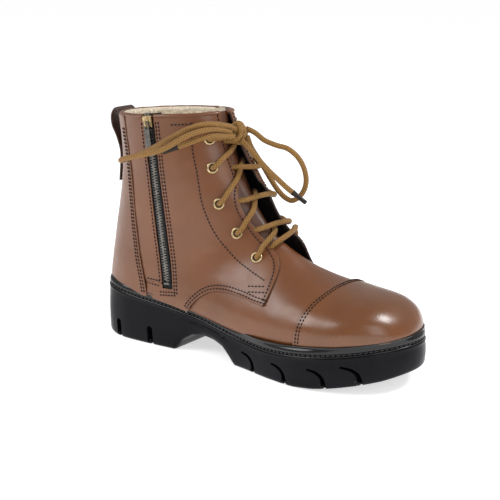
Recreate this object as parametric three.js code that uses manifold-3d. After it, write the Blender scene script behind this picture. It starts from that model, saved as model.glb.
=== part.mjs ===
// Left leather safety boot with side zip, cleated rubber sole and tied laces.
// Millimetres. +X points to the toe, +Y to the outer (lateral) side, +Z up. The ground is Z = 0.
// The inner (medial) side with the zip faces -Y.
import * as THREE from 'three';
import { mergeVertices } from 'three/addons/utils/BufferGeometryUtils.js';
import Module from 'manifold-3d';

const wasm = await Module();
wasm.setup();

// ---------------------------------------------------------------- driving dimensions
const BOOT_LENGTH = 305;
const BOOT_WIDTH = 114;
const COLLAR_HEIGHT = 198;
const ANKLE_HEIGHT = 90;

const CLEARANCE = 0.3;
const LEATHER = 1.8;
const MIDDLE_LAYER = 1.8;
const LINING = 3.7;
const BINDING_HEIGHT = 3;
const SEAM_LAP = 10;

const WELT_HEIGHT = 7.5;
const TREAD_DEPTH = 5;
const TREAD_GAP = 5;
const NOTCH_DEPTH = 9;
const SHANK_WIDTH = 15;
const SHANK_THICKNESS = 2;
const INSOLE_THICKNESS = 2;
const FOOTBED_THICKNESS = 5;
const TOE_STEEL = 1.6;
const TOE_STEEL_START = 16;

const EYELET_OUTER = 10;
const EYELET_HOLE = 4.8;
const EYELET_BARREL = 6.6;
const EYELET_RIM = 0.9;
const EYELET_TAIL = -1;
const EYELET_SEAT = 0.5;

const ZIP_WINDOW = 5.5;
const ZIP_TAPE = 13;
const ZIP_PITCH = 4.6;
const ZIP_TOOTH = 1.7;
const ZIP_CHAIN_WIDTH = 6;
const ZIP_CHAIN_THICKNESS = 1.6;
const ZIP_STOP_LENGTH = 2;
const ZIP_FOOT = 4;
const SLIDER_LENGTH = 10;
const SLIDER_WIDTH = 9.2;
const PULL_TAB_LENGTH = 23;
const PULL_TAB_WIDTH = 6.5;

const LOOP_WIDTH = 24;
const LOOP_THICKNESS = 2.4;
const LACE_DIAMETER = 4.5;
const KNOT_RADIUS = 8;
const AGLET_LENGTH = 13;
const FACING_FLARE = 13;
const FACING_GAP = 10;

// The outlines below are drawn for this boot and stretch to the driving dimensions above.
const DRAWN_LENGTH = 305;
const DRAWN_WIDTH = 114;
const DRAWN_COLLAR = 198;
const CENTRE_SHIFT = -3;

// Cutting blocks reach this far, past everything they cut.
const FAR = 200;
const BEHIND = -FAR;
const AHEAD = FAR;
const HIGH = COLLAR_HEIGHT + 60;
const LOW = -80;

const alongX = (x) => x * BOOT_LENGTH / DRAWN_LENGTH;
const acrossY = (y) => y * BOOT_WIDTH / DRAWN_WIDTH + CENTRE_SHIFT;
const upZ = (z) => {
  const rise = Math.max(z - ANKLE_HEIGHT, 0);
  return z - rise + rise * (COLLAR_HEIGHT - ANKLE_HEIGHT) / (DRAWN_COLLAR - ANKLE_HEIGHT);
};
const side = (points) => points.map(([x, z]) => [alongX(x), upZ(z)]);

// ---------------------------------------------------------------- curves
// A natural cubic spline through equally spaced rows of numbers.
function naturalSpline(rows) {
  const last = rows.length - 1;
  const width = rows[0].length;
  const bend = rows.map(() => new Array(width).fill(0));
  for (let column = 0; column < width; column += 1) {
    const share = new Array(rows.length).fill(0);
    const held = new Array(rows.length).fill(0);
    for (let i = 1; i < last; i += 1) {
      const pull = 6 * (rows[i + 1][column] - 2 * rows[i][column] + rows[i - 1][column]);
      const pivot = 4 - share[i - 1];
      share[i] = 1 / pivot;
      held[i] = (pull - held[i - 1]) / pivot;
    }
    for (let i = last - 1; i > 0; i -= 1) {
      bend[i][column] = held[i] - share[i] * bend[i + 1][column];
    }
  }
  return (t) => {
    const i = Math.min(Math.max(Math.floor(t), 0), last - 1);
    const u = t - i;
    const v = 1 - u;
    return rows[i].map((value, c) => (
      value * v + rows[i + 1][c] * u
      + (v ** 3 - v) * bend[i][c] / 6 + (u ** 3 - u) * bend[i + 1][c] / 6
    ));
  };
}

// A height curve z(x) through drawn side-view points, flat beyond its ends.
function heightCurve(points) {
  const drawn = side(points);
  return (x) => {
    if (x <= drawn[0][0]) return drawn[0][1];
    for (let i = 1; i < drawn.length; i += 1) {
      if (x <= drawn[i][0]) {
        const [x0, z0] = drawn[i - 1];
        const [x1, z1] = drawn[i];
        const u = (x - x0) / (x1 - x0);
        return z0 + (z1 - z0) * u;
      }
    }
    return drawn[drawn.length - 1][1];
  };
}

const smooth = (u) => {
  const v = Math.min(Math.max(u, 0), 1);
  return v * v * (3 - 2 * v);
};

// ---------------------------------------------------------------- the last
// The foot-shaped surface is a row of oval sections, from the level collar down and round to the toe.
// Each row: back x, back z, front x, front z, medial and lateral half-width, centre y,
// fullness of the front and the back half, and where along the section it is widest.
const SECTIONS = [
  [-139, 198, -33, 205, 36, 36, -4, 2.0, 2.0, 0.50],
  [-136, 170, -27, 180, 36, 36, -4, 2.0, 2.0, 0.50],
  [-138, 135, -16, 154, 36, 36, -4, 2.0, 2.0, 0.48],
  [-146, 92, -3, 133, 36, 36, -4, 1.9, 2.1, 0.44],
  [-149, 62, 8, 119, 36, 36, -4, 1.8, 2.3, 0.40],
  [-146, 36, 17, 110, 36, 37, -4, 1.75, 2.6, 0.38],
  [-112, 26, 26, 102, 37, 39, -3, 1.75, 3.0, 0.36],
  [-66, 24, 38, 94, 39, 42, -2, 1.8, 3.0, 0.36],
  [-16, 21, 52, 86, 44, 48, -1, 1.85, 3.0, 0.36],
  [27, 13, 67, 79, 48, 54, 0, 1.95, 3.0, 0.445],
  [56, 13, 86, 74, 50, 56, 0, 2.1, 3.0, 0.47],
  [77, 14, 105, 71, 49, 55, 0, 2.2, 3.0, 0.48],
  [91, 15, 123, 68, 46, 52, 0, 2.3, 2.9, 0.49],
  [103, 17, 137, 61, 40, 46, 1, 2.3, 2.7, 0.51],
  [112, 20, 145, 52, 32, 38, 1, 2.2, 2.5, 0.53],
  [119, 23, 148, 43, 23, 29, 1, 2.1, 2.3, 0.55],
  [127, 28, 146, 36, 13, 17, 1, 2.0, 2.1, 0.50],
  [136, 31, 139, 33, 1.5, 1.5, 1, 2.0, 2.0, 0.50],
];
const LAST_ROW = SECTIONS.length - 1;
const sectionAt = naturalSpline(SECTIONS.map(([xb, zb, xf, zf, wm, wl, yc, nf, nb, wide]) => [
  alongX(xb), upZ(zb), alongX(xf), upZ(zf),
  wm * BOOT_WIDTH / DRAWN_WIDTH, wl * BOOT_WIDTH / DRAWN_WIDTH, acrossY(yc), nf, nb, wide,
]));

// A point of the last: t runs down the sections, angle is 0 at the front, a quarter turn at the
// medial side and half a turn at the back. offset grows the section, negative shrinks it.
function lastPoint(t, angle, offset = 0) {
  const [xb, zb, xf, zf, wm, wl, yc, nf, nb, wide] = sectionAt(t);
  const chord = Math.hypot(xf - xb, zf - zb);
  const grow = Math.max(offset, -0.4 * chord);
  const medial = Math.sin(angle) > 0;
  const half = medial ? wm : wl;
  const width = Math.max(half + offset, 0.25 * half);
  const cosine = Math.cos(angle);
  const power = 2 / (cosine > 0 ? nf : nb);
  const forward = Math.sign(cosine) * Math.abs(cosine) ** power;
  const sideways = Math.abs(Math.sin(angle)) ** power * (medial ? -1 : 1);
  const reach = cosine > 0 ? (1 - wide) * chord + grow : wide * chord + grow;
  const along = wide * chord + forward * reach;
  return new THREE.Vector3(
    xb + (xf - xb) * along / chord,
    yc + sideways * width,
    zb + (zf - zb) * along / chord,
  );
}

// The loosened lateral facing stands off the tongue, most of all beside the lower eyelets.
function flare(t, angle) {
  const fromFront = angle > Math.PI ? 2 * Math.PI - angle : 2 * Math.PI;
  const around = smooth((1.25 - fromFront) / 0.85);
  const down = smooth((t + 1.2) / 4.4) * smooth((8.2 - t) / 2.2);
  return FACING_FLARE * around * down;
}

// Finds the section and angle of a side-view point on the medial (+1) or lateral (-1) side.
function onLast(x, z, hand) {
  const miss = (t) => {
    const [xb, zb, xf, zf] = sectionAt(t);
    return (x - xb) * (zf - zb) - (z - zb) * (xf - xb);
  };
  let high = -0.9;
  let low = LAST_ROW;
  const above = Math.sign(miss(high));
  for (let step = 0; step < 40; step += 1) {
    const middle = (high + low) / 2;
    if (Math.sign(miss(middle)) === above) high = middle;
    else low = middle;
  }
  const [xb, zb, xf, zf, , , , nf, nb, wide] = sectionAt(high);
  const chord = Math.hypot(xf - xb, zf - zb);
  const along = ((x - xb) * (xf - xb) + (z - zb) * (zf - zb)) / chord / chord;
  const forward = along > wide ? (along - wide) / (1 - wide) : (along - wide) / wide;
  const reach = Math.min(Math.abs(forward), 1) ** ((along > wide ? nf : nb) / 2);
  const angle = Math.acos(Math.sign(forward) * reach);
  return { t: high, angle: hand > 0 ? angle : 2 * Math.PI - angle };
}

// Place and outward direction of a point that may sit on the flared facing.
function facingFrame(t, angle, offset) {
  const at = (s, a) => lastPoint(s, a, offset + flare(s, a));
  const step = 0.02;
  const point = at(t, angle);
  const down = at(t + step, angle).sub(at(t - step, angle));
  const around = at(t, angle + step).sub(at(t, angle - step));
  const normal = around.cross(down).normalize();
  const centre = lastPoint(t, angle, -30);
  if (normal.dot(point.clone().sub(centre)) < 0) normal.negate();
  return { point, normal };
}

// ---------------------------------------------------------------- solids
function solidOf(geometry) {
  const bare = geometry.clone();
  bare.deleteAttribute('normal');
  bare.deleteAttribute('uv');
  const merged = mergeVertices(bare, 1e-4);
  return new wasm.Manifold(new wasm.Mesh({
    numProp: 3,
    vertProperties: Float32Array.from(merged.attributes.position.array),
    triVerts: Uint32Array.from(merged.index.array),
  }));
}

function geometryOf(solid) {
  const mesh = solid.getMesh();
  const geometry = new THREE.BufferGeometry();
  geometry.setAttribute('position', new THREE.BufferAttribute(mesh.vertProperties, 3));
  geometry.setIndex(new THREE.BufferAttribute(mesh.triVerts, 1));
  geometry.computeVertexNormals();
  return geometry;
}

// A closed block with an XZ outline, between two Y values.
function sideBlock(outline, yLow, yHigh) {
  const shape = new THREE.Shape(outline.map(([x, z]) => new THREE.Vector2(x, z)));
  const geometry = new THREE.ExtrudeGeometry(shape, { depth: yHigh - yLow, bevelEnabled: false });
  geometry.rotateX(Math.PI / 2);
  geometry.translate(0, yHigh, 0);
  return solidOf(geometry);
}

function box(xLow, xHigh, yLow, yHigh, zLow, zHigh) {
  const geometry = new THREE.BoxGeometry(xHigh - xLow, yHigh - yLow, zHigh - zLow);
  geometry.translate((xLow + xHigh) / 2, (yLow + yHigh) / 2, (zLow + zHigh) / 2);
  return solidOf(geometry);
}

// The block between two height curves.
function slab(bottom, top, xLow, xHigh, yLow = -FAR, yHigh = FAR) {
  const outline = [];
  const steps = Math.ceil((xHigh - xLow) / 12);
  for (let i = 0; i <= steps; i += 1) {
    const x = xLow + (xHigh - xLow) * i / steps;
    outline.push([x, bottom(x)]);
  }
  for (let i = steps; i >= 0; i -= 1) {
    const x = xLow + (xHigh - xLow) * i / steps;
    outline.push([x, top(x)]);
  }
  return sideBlock(outline, yLow, yHigh);
}

// The closed sock-shaped solid inside the last grown by offset.
const ROWS = 17;
const AROUND = 24;
function lastSolid(offset, rise = 0, flared = false) {
  const top = -0.4 - rise;
  const rows = ROWS + 1;
  const positions = [];
  const indices = [];
  for (let i = 0; i <= rows; i += 1) {
    const t = i === 0 ? top : LAST_ROW * (i - 1) / ROWS;
    for (let j = 0; j < AROUND; j += 1) {
      const angle = 2 * Math.PI * j / AROUND;
      const stand = flared ? flare(t, angle) : 0;
      positions.push(...lastPoint(t, angle, offset + stand).toArray());
    }
  }
  for (let i = 0; i < rows; i += 1) {
    for (let j = 0; j < AROUND; j += 1) {
      const next = (j + 1) % AROUND;
      const a = i * AROUND + j;
      const b = i * AROUND + next;
      const c = a + AROUND;
      const d = b + AROUND;
      indices.push(a, b, d, a, d, c);
    }
  }
  for (const [t, row, turn] of [[top, 0, 1], [LAST_ROW, rows, -1]]) {
    const centre = lastPoint(t, 0, offset).add(lastPoint(t, Math.PI, offset)).multiplyScalar(0.5);
    const hub = positions.length / 3;
    positions.push(...centre.toArray());
    for (let j = 0; j < AROUND; j += 1) {
      const a = row * AROUND + j;
      const b = row * AROUND + (j + 1) % AROUND;
      indices.push(...(turn > 0 ? [hub, b, a] : [hub, a, b]));
    }
  }
  const geometry = new THREE.BufferGeometry();
  geometry.setAttribute('position', new THREE.Float32BufferAttribute(positions, 3));
  geometry.setIndex(indices);
  return solidOf(geometry);
}

// The layers of the upper, measured from the outer face of the vamp leather outwards.
const OUTER_TOP = 0.9;
const OUTER_BOTTOM = OUTER_TOP - LEATHER;
const MIDDLE_TOP = OUTER_BOTTOM - CLEARANCE;
const MIDDLE_BOTTOM = MIDDLE_TOP - MIDDLE_LAYER;
const LINING_TOP = MIDDLE_BOTTOM - CLEARANCE;
const LINING_BOTTOM = LINING_TOP - LINING;
const CAVITY = LINING_BOTTOM - CLEARANCE;
const TAPE_BOTTOM = MIDDLE_TOP - 1;

const shell = (inner, outer, flared = false) => (
  lastSolid(outer, 0, flared).subtract(lastSolid(inner, 0.4, flared))
);
const outerShell = shell(OUTER_BOTTOM, OUTER_TOP);
const flaredShell = shell(OUTER_BOTTOM, OUTER_TOP, true);
const middleShell = shell(MIDDLE_BOTTOM, MIDDLE_TOP);
const liningShell = shell(LINING_BOTTOM, LINING_TOP);

// ---------------------------------------------------------------- side-view lines
const soleTop = heightCurve([
  [-152, 47], [-128, 43.5], [-105, 40.5], [-80, 38], [-56, 35], [-35, 31.5], [-15, 27.5], [5, 24.5],
  [25, 23], [50, 23.5], [75, 26], [95, 28.5], [112, 31], [130, 34], [152, 37.5],
]);
const above = (curve, rise) => (x) => curve(x) + rise;
const treadLine = heightCurve([
  [-152, 4], [-142, 1.5], [-128, 0], [-61, 0], [-54, 10], [-44, 16], [-32, 18], [-20, 16.5],
  [-10, 13], [-3, 7], [4, 0], [70, 0], [88, 1.5], [103, 4], [120, 7.5], [136, 11], [152, 16],
]);
const upperFloor = above(soleTop, CLEARANCE);

const collarBack = lastPoint(0, Math.PI);
const collarFront = lastPoint(0, 0);
const collarLine = (x) => (
  collarBack.z + (collarFront.z - collarBack.z) * (x - collarBack.x) / (collarFront.x - collarBack.x)
);
const panelTop = above(collarLine, -BINDING_HEIGHT - CLEARANCE);
const everything = (top) => slab(upperFloor, top, -BOOT_LENGTH, BOOT_LENGTH);
const belowCollar = everything(panelTop);

const BACK_SEAM = side([[-117, 215], [-114, 185], [-106, 142], [-103, 121], [-99, 96], [-95, 73],
  [-91, 54], [-87, 20]]);
const FACING_EDGE = side([[-22, 230], [-21, 180], [-17, 163], [-6.5, 129], [9, 110], [23, 98],
  [31, 91], [35, 85], [37, 76], [36, 64], [35, 57]]);
const QUARTER_FOOT = side([[30, 57.5], [10, 60.5], [-8, 61.5], [-22, 59], [-33, 52], [-42, 42],
  [-50, 20]]);
const TONGUE_EDGE = side([[-53, 225], [-49, 206], [-43, 178], [-31, 148], [-17, 125], [-5, 110],
  [8, 98], [22, 89]]);
const CAP_SEAM = side([[86, 90], [81, 75], [76, 66], [72, 55], [70, 44], [68, 15]]);
const ZIP_BOTTOM = new THREE.Vector2(...side([[-67, 58]])[0]);
const ZIP_TOP = new THREE.Vector2(...side([[-85.4, 204.1]])[0]);
const zipWay = ZIP_TOP.clone().sub(ZIP_BOTTOM).normalize();
const zipSide = (along, across) => [
  ZIP_BOTTOM.x + zipWay.x * along + zipWay.y * across,
  ZIP_BOTTOM.y + zipWay.y * along - zipWay.x * across,
];
const zipLength = ZIP_TOP.distanceTo(ZIP_BOTTOM);

const medialSide = [-FAR, collarFront.y - FACING_GAP / 2];
const lateralSide = [collarFront.y + FACING_GAP / 2, FAR];
const moved = (points, dx) => points.map(([x, z]) => [x + dx, z]);
const backwards = (points) => [...points].reverse();
// ---------------------------------------------------------------- sole
// The outline of the sole seen from above, drawn anticlockwise from the back of the heel.
const SOLE_OUTLINE = [
  [-152.5, -4], [-149, -22], [-139, -35], [-122, -41], [-97, -42], [-60, -40], [-30, -38],
  [10, -43], [45, -51], [75, -54], [103, -49], [127, -37], [145, -18], [152.5, 4], [148, 23],
  [132, 42], [100, 55.5], [60, 60], [20, 57], [-20, 50], [-60, 43], [-97, 38], [-122, 35.5],
  [-140, 27], [-150, 13],
];
function soleBlock(inset, zLow, zHigh) {
  const around = new THREE.CatmullRomCurve3(
    SOLE_OUTLINE.map(([x, y]) => new THREE.Vector3(alongX(x), acrossY(y), 0)),
    true,
    'centripetal',
  );
  const points = around.getPoints(SOLE_OUTLINE.length * 2).slice(0, -1);
  const outline = points.map((point, i) => {
    const next = points[(i + 1) % points.length];
    const previous = points[(i + points.length - 1) % points.length];
    const way = next.clone().sub(previous).normalize();
    return new THREE.Vector2(point.x - way.y * inset, point.y + way.x * inset);
  });
  const geometry = new THREE.ExtrudeGeometry(
    new THREE.Shape(outline),
    { depth: zHigh - zLow, bevelEnabled: false },
  );
  geometry.translate(0, 0, zLow);
  return solidOf(geometry);
}

const HEEL_NOTCHES = [-123, -86];
const FOREFOOT_NOTCHES = [27, 62, 97, 123];
const SHANK_START = -78;
const SHANK_END = 22;
function treadCuts() {
  const cuts = [];
  for (const drawn of [...HEEL_NOTCHES, ...FOREFOOT_NOTCHES]) {
    const x = alongX(drawn);
    const ground = treadLine(x);
    const notch = drawn < 0 ? 2 * NOTCH_DEPTH : 1.3 * NOTCH_DEPTH;
    cuts.push(box(x - TREAD_GAP / 2, x + TREAD_GAP / 2, -FAR, FAR, -20, ground + TREAD_DEPTH));
    for (const hand of [-1, 1]) {
      const rim = soleBlock(NOTCH_DEPTH, -20, 80);
      const reach = hand < 0 ? [-FAR, CENTRE_SHIFT] : [CENTRE_SHIFT, FAR];
      const deep = box(x - TREAD_GAP / 2, x + TREAD_GAP / 2, ...reach, -20, ground + notch);
      cuts.push(deep.subtract(rim));
    }
  }
  const middle = CENTRE_SHIFT;
  const channel = (xLow, xHigh) => slab(
    above(treadLine, -20), above(treadLine, TREAD_DEPTH), alongX(xLow), alongX(xHigh),
    middle - TREAD_GAP / 2, middle + TREAD_GAP / 2,
  );
  cuts.push(channel(-140, -66), channel(10, 138));
  return cuts;
}

function outsole() {
  let solid = soleBlock(0, -5, 90).intersect(slab(treadLine, soleTop, -BOOT_LENGTH, BOOT_LENGTH));
  for (const cut of treadCuts()) solid = solid.subtract(cut);
  const half = SHANK_WIDTH / 2 + CLEARANCE;
  const pocket = slab(
    above(soleTop, -SHANK_THICKNESS - 2 * CLEARANCE), above(soleTop, 20),
    alongX(SHANK_START) - CLEARANCE, alongX(SHANK_END) + CLEARANCE,
    CENTRE_SHIFT - half, CENTRE_SHIFT + half,
  );
  return solid.subtract(pocket);
}

function steelShank() {
  return slab(
    above(soleTop, -SHANK_THICKNESS - CLEARANCE), above(soleTop, -CLEARANCE),
    alongX(SHANK_START), alongX(SHANK_END),
    CENTRE_SHIFT - SHANK_WIDTH / 2, CENTRE_SHIFT + SHANK_WIDTH / 2,
  );
}

function welt() {
  const ring = slab(above(soleTop, CLEARANCE), above(soleTop, WELT_HEIGHT), -BOOT_LENGTH, BOOT_LENGTH);
  return soleBlock(0.8, -5, 90).intersect(ring).subtract(lastSolid(OUTER_TOP + 2 * CLEARANCE));
}

function innerSole(bottomRise, thickness) {
  const layer = slab(
    above(soleTop, bottomRise), above(soleTop, bottomRise + thickness), -BOOT_LENGTH, BOOT_LENGTH,
  );
  return lastSolid(CAVITY).intersect(layer);
}

// ---------------------------------------------------------------- upper
function toeCap() {
  const front = sideBlock([...CAP_SEAM, [AHEAD, 15], [AHEAD, 90]], -FAR, FAR);
  const skin = shell(MIDDLE_BOTTOM, 0.2).intersect(front).intersect(belowCollar);
  const lap = alongX(SEAM_LAP);
  const under = sideBlock(
    [...moved(CAP_SEAM, lap + CLEARANCE), [BEHIND, 15], [BEHIND, 90]], -FAR, FAR,
  );
  return skin.subtract(lastSolid(MIDDLE_TOP + CLEARANCE).intersect(under));
}

const THROAT = side([[22, 112], [22, 89], [2, 76], [-28, 71], [-46, 62], [-49, 15]]);
function vamp() {
  const front = moved(CAP_SEAM, alongX(SEAM_LAP));
  const outline = [...front, ...backwards(THROAT)];
  return middleShell.intersect(sideBlock(outline, -FAR, FAR)).intersect(belowCollar);
}

function steelToeCap() {
  const seat = sideBlock(
    [...moved(CAP_SEAM, alongX(TOE_STEEL_START)), [AHEAD, 15], [AHEAD, 90]], -FAR, FAR,
  );
  return shell(LINING_TOP - TOE_STEEL, LINING_TOP).intersect(seat).intersect(belowCollar);
}

// A line along the zip, the given distance in front of its middle.
const zipEdge = (across) => [zipSide(LOW, across), zipSide(zipLength + HIGH, across)];

function eyeletSeats(hand) {
  return side([[-35, 184], [-30, 161], [-22, 132], [-6, 108.5], [14, 90.5]]).map(([x, z]) => {
    const { t, angle } = onLast(x, z, hand);
    return { t, angle, ...facingFrame(t, angle, OUTER_TOP) };
  });
}
const medialEyelets = eyeletSeats(1);
const lateralEyelets = eyeletSeats(-1);

function eyeletHole({ point, normal }) {
  const geometry = new THREE.CylinderGeometry(
    EYELET_BARREL / 2 + CLEARANCE, EYELET_BARREL / 2 + CLEARANCE, 16, 12,
  );
  geometry.applyQuaternion(new THREE.Quaternion().setFromUnitVectors(new THREE.Vector3(0, 1, 0), normal));
  geometry.translate(point.x, point.y, point.z);
  return solidOf(geometry);
}

function quarter(skin, handSide, eyelets, rearLine) {
  const outline = [...FACING_EDGE, ...QUARTER_FOOT, ...rearLine];
  let panel = skin.intersect(sideBlock(outline, ...handSide)).intersect(belowCollar);
  for (const seat of eyelets) panel = panel.subtract(eyeletHole(seat));
  return panel;
}

// The block beside the zip from uLow upwards, between two distances in front of its middle.
function zipStrip(uLow, vLow, vHigh) {
  const outline = [
    zipSide(uLow, vLow), zipSide(uLow, vHigh),
    zipSide(zipLength + HIGH, vHigh), zipSide(zipLength + HIGH, vLow),
  ];
  return sideBlock(outline, ...medialSide);
}

function zipOpening() {
  return zipStrip(-ZIP_FOOT, -ZIP_WINDOW, ZIP_WINDOW);
}

function medialQuarter() {
  return quarter(outerShell, medialSide, medialEyelets, zipEdge(ZIP_WINDOW));
}

function rearPanelMedial() {
  const ahead = moved(BACK_SEAM, CLEARANCE);
  const outline = [...backwards(zipEdge(-ZIP_WINDOW - CLEARANCE)), ...backwards(ahead)];
  const strip = outerShell.intersect(sideBlock(outline, ...medialSide)).intersect(belowCollar);
  return strip.subtract(zipOpening());
}

function lateralQuarter() {
  const rear = backwards(moved(BACK_SEAM, CLEARANCE));
  return quarter(flaredShell, lateralSide, lateralEyelets, rear);
}

function heelPanel() {
  return outerShell.intersect(sideBlock([...BACK_SEAM, [BEHIND, 20], [BEHIND, 215]], -FAR, FAR))
    .intersect(belowCollar);
}

const STIFFENER_FRONT = side([[-108, 92], [-104, 84], [-92, 60], [-78, 15]]);
function heelStiffener() {
  const outline = [[BEHIND, STIFFENER_FRONT[0][1]], ...STIFFENER_FRONT, [BEHIND, 15]];
  return middleShell.intersect(sideBlock(outline, -FAR, FAR)).intersect(belowCollar);
}

function anklePadding(hand) {
  const overVamp = THROAT.slice(2).map(([x, z]) => [x - CLEARANCE, z + CLEARANCE]);
  const outline = [
    [TONGUE_EDGE[0][0] - CLEARANCE, HIGH], ...moved(TONGUE_EDGE, -CLEARANCE), ...overVamp,
    ...backwards(moved(STIFFENER_FRONT, CLEARANCE)).slice(0, 3),
    [STIFFENER_FRONT[0][0] + CLEARANCE, STIFFENER_FRONT[0][1] + CLEARANCE],
    [BEHIND, STIFFENER_FRONT[0][1] + CLEARANCE], [BEHIND, HIGH],
  ];
  const yRange = hand > 0 ? [-FAR, CENTRE_SHIFT - CLEARANCE / 2] : [CENTRE_SHIFT + CLEARANCE / 2, FAR];
  return middleShell.intersect(sideBlock(outline, ...yRange)).intersect(belowCollar);
}

// The medial padding stops on each side of the zip tapes.
function medialPadding(front) {
  const past = front ? AHEAD : BEHIND;
  const [low, high] = zipEdge((ZIP_TAPE + CLEARANCE) * (front ? 1 : -1));
  return anklePadding(1).intersect(sideBlock([low, [past, low[1]], [past, high[1]], high], -FAR, FAR));
}

function tongueOutline(grow) {
  return [...moved(TONGUE_EDGE, grow), [AHEAD, TONGUE_EDGE[TONGUE_EDGE.length - 1][1] + 0.5],
    [AHEAD, HIGH], [TONGUE_EDGE[0][0], HIGH]];
}
const TONGUE_RISE = 1;
function tongue(skin) {
  const throat = sideBlock([[alongX(22) - CLEARANCE, 60], [AHEAD, 60], [AHEAD, 130],
    [alongX(22) - CLEARANCE, 130]], -FAR, FAR);
  const limit = everything(above(collarLine, TONGUE_RISE));
  return skin.intersect(sideBlock(tongueOutline(CLEARANCE), -FAR, FAR)).subtract(throat).intersect(limit);
}

function fleeceLining() {
  const front = sideBlock([...TONGUE_EDGE, [AHEAD, TONGUE_EDGE[TONGUE_EDGE.length - 1][1]],
    [AHEAD, HIGH + 10], [TONGUE_EDGE[0][0], HIGH + 10]], -FAR, FAR);
  const steelSeat = sideBlock([...moved(CAP_SEAM, alongX(TOE_STEEL_START) - CLEARANCE), [AHEAD, 15], [AHEAD, 90]],
    -FAR, FAR);
  const steelRoom = lastSolid(5).subtract(lastSolid(LINING_TOP - TOE_STEEL - CLEARANCE)).intersect(steelSeat);
  const floor = everything(panelTop);
  return liningShell.intersect(floor).subtract(front).subtract(steelRoom);
}

function collarBinding() {
  const band = slab(above(collarLine, -BINDING_HEIGHT), above(collarLine, 0), -BOOT_LENGTH, BOOT_LENGTH);
  const throat = box(
    FACING_EDGE[0][0] - 30, FAR, collarFront.y - FACING_GAP / 2, collarFront.y + FACING_GAP / 2, 150, HIGH,
  );
  const tongueRoom = lastSolid(MIDDLE_TOP + CLEARANCE, 0.1)
    .intersect(sideBlock(tongueOutline(0), -FAR, FAR));
  const zipSlot = zipStrip(0, -ZIP_WINDOW, ZIP_WINDOW).subtract(lastSolid(TAPE_BOTTOM - CLEARANCE, 1));
  return shell(LINING_BOTTOM, OUTER_TOP).intersect(band)
    .subtract(throat).subtract(tongueRoom).subtract(zipSlot);
}

// ---------------------------------------------------------------- pull loop
// A folded strap: sewn flat down the back, bulging out at the top and tucked under the binding.
function pullLoop() {
  const stand = OUTER_TOP + 5 * CLEARANCE + LOOP_THICKNESS / 2;
  const sewn = [137, 150, 163].map((z) => {
    const t = (170 - z) / 35 + 1;
    const point = lastPoint(t, Math.PI, stand);
    return [point.x, point.z];
  });
  const free = side([[-143.5, 176], [-149, 186], [-149.5, 195], [-145, 200.5], [-141.6, 198.6]]);
  const curve = new THREE.CatmullRomCurve3(
    [...sewn, ...free].map(([x, z]) => new THREE.Vector3(x, z, 0)), false, 'centripetal',
  );
  const points = curve.getPoints(18);
  const left = [];
  const right = [];
  points.forEach((point, i) => {
    const next = points[Math.min(i + 1, points.length - 1)];
    const previous = points[Math.max(i - 1, 0)];
    const way = next.clone().sub(previous).normalize();
    left.push([point.x - way.y * LOOP_THICKNESS / 2, point.y + way.x * LOOP_THICKNESS / 2]);
    right.push([point.x + way.y * LOOP_THICKNESS / 2, point.y - way.x * LOOP_THICKNESS / 2]);
  });
  const middle = lastPoint(1, Math.PI).y;
  return sideBlock([...left, ...backwards(right)], middle - LOOP_WIDTH / 2, middle + LOOP_WIDTH / 2);
}

// ---------------------------------------------------------------- eyelets
function eyeletGeometry({ point, normal }) {
  const hole = EYELET_HOLE / 2;
  const barrel = EYELET_BARREL / 2;
  const rim = EYELET_OUTER / 2;
  const profile = [
    [hole, EYELET_TAIL], [barrel, EYELET_TAIL],
    [barrel, EYELET_SEAT], [rim, EYELET_SEAT], [rim - 0.4, EYELET_SEAT + EYELET_RIM],
    [hole + 0.5, EYELET_SEAT + EYELET_RIM], [hole, EYELET_SEAT + 0.4],
  ].map(([radius, height]) => new THREE.Vector2(radius, height));
  profile.push(profile[0].clone());
  const geometry = new THREE.LatheGeometry(profile, 10);
  geometry.applyQuaternion(new THREE.Quaternion().setFromUnitVectors(new THREE.Vector3(0, 1, 0), normal));
  geometry.translate(point.x, point.y, point.z);
  return geometryOf(solidOf(geometry));
}

// ---------------------------------------------------------------- zip
// The zip is straight: u runs up along it, v across it to the front, w out of the boot.
const zipPlane = Math.min(...[0, 0.25, 0.5, 0.75, 1].map((share) => {
  const { t, angle } = onLast(...zipSide(zipLength * share, 0), 1);
  return lastPoint(t, angle).y;
}));
const zipFrame = new THREE.Matrix4().makeBasis(
  new THREE.Vector3(zipWay.y, 0, -zipWay.x),
  new THREE.Vector3(zipWay.x, 0, zipWay.y),
  new THREE.Vector3(0, -1, 0),
).setPosition(ZIP_BOTTOM.x, zipPlane, ZIP_BOTTOM.y);

function zipBox(uLow, uHigh, vLow, vHigh, wLow, wHigh) {
  const geometry = new THREE.BoxGeometry(vHigh - vLow, uHigh - uLow, wHigh - wLow);
  geometry.translate((vLow + vHigh) / 2, (uLow + uHigh) / 2, (wLow + wHigh) / 2);
  geometry.applyMatrix4(zipFrame);
  return solidOf(geometry);
}

function zipTape(front) {
  const strip = (reach) => {
    const edges = front ? [CLEARANCE / 2, reach] : [-reach, -CLEARANCE / 2];
    return zipStrip(-2 * ZIP_FOOT, ...edges);
  };
  const limit = strip(ZIP_TAPE).intersect(belowCollar)
    .add(strip(ZIP_WINDOW - CLEARANCE).intersect(everything(collarLine)));
  return shell(TAPE_BOTTOM, MIDDLE_TOP).intersect(limit);
}

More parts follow.
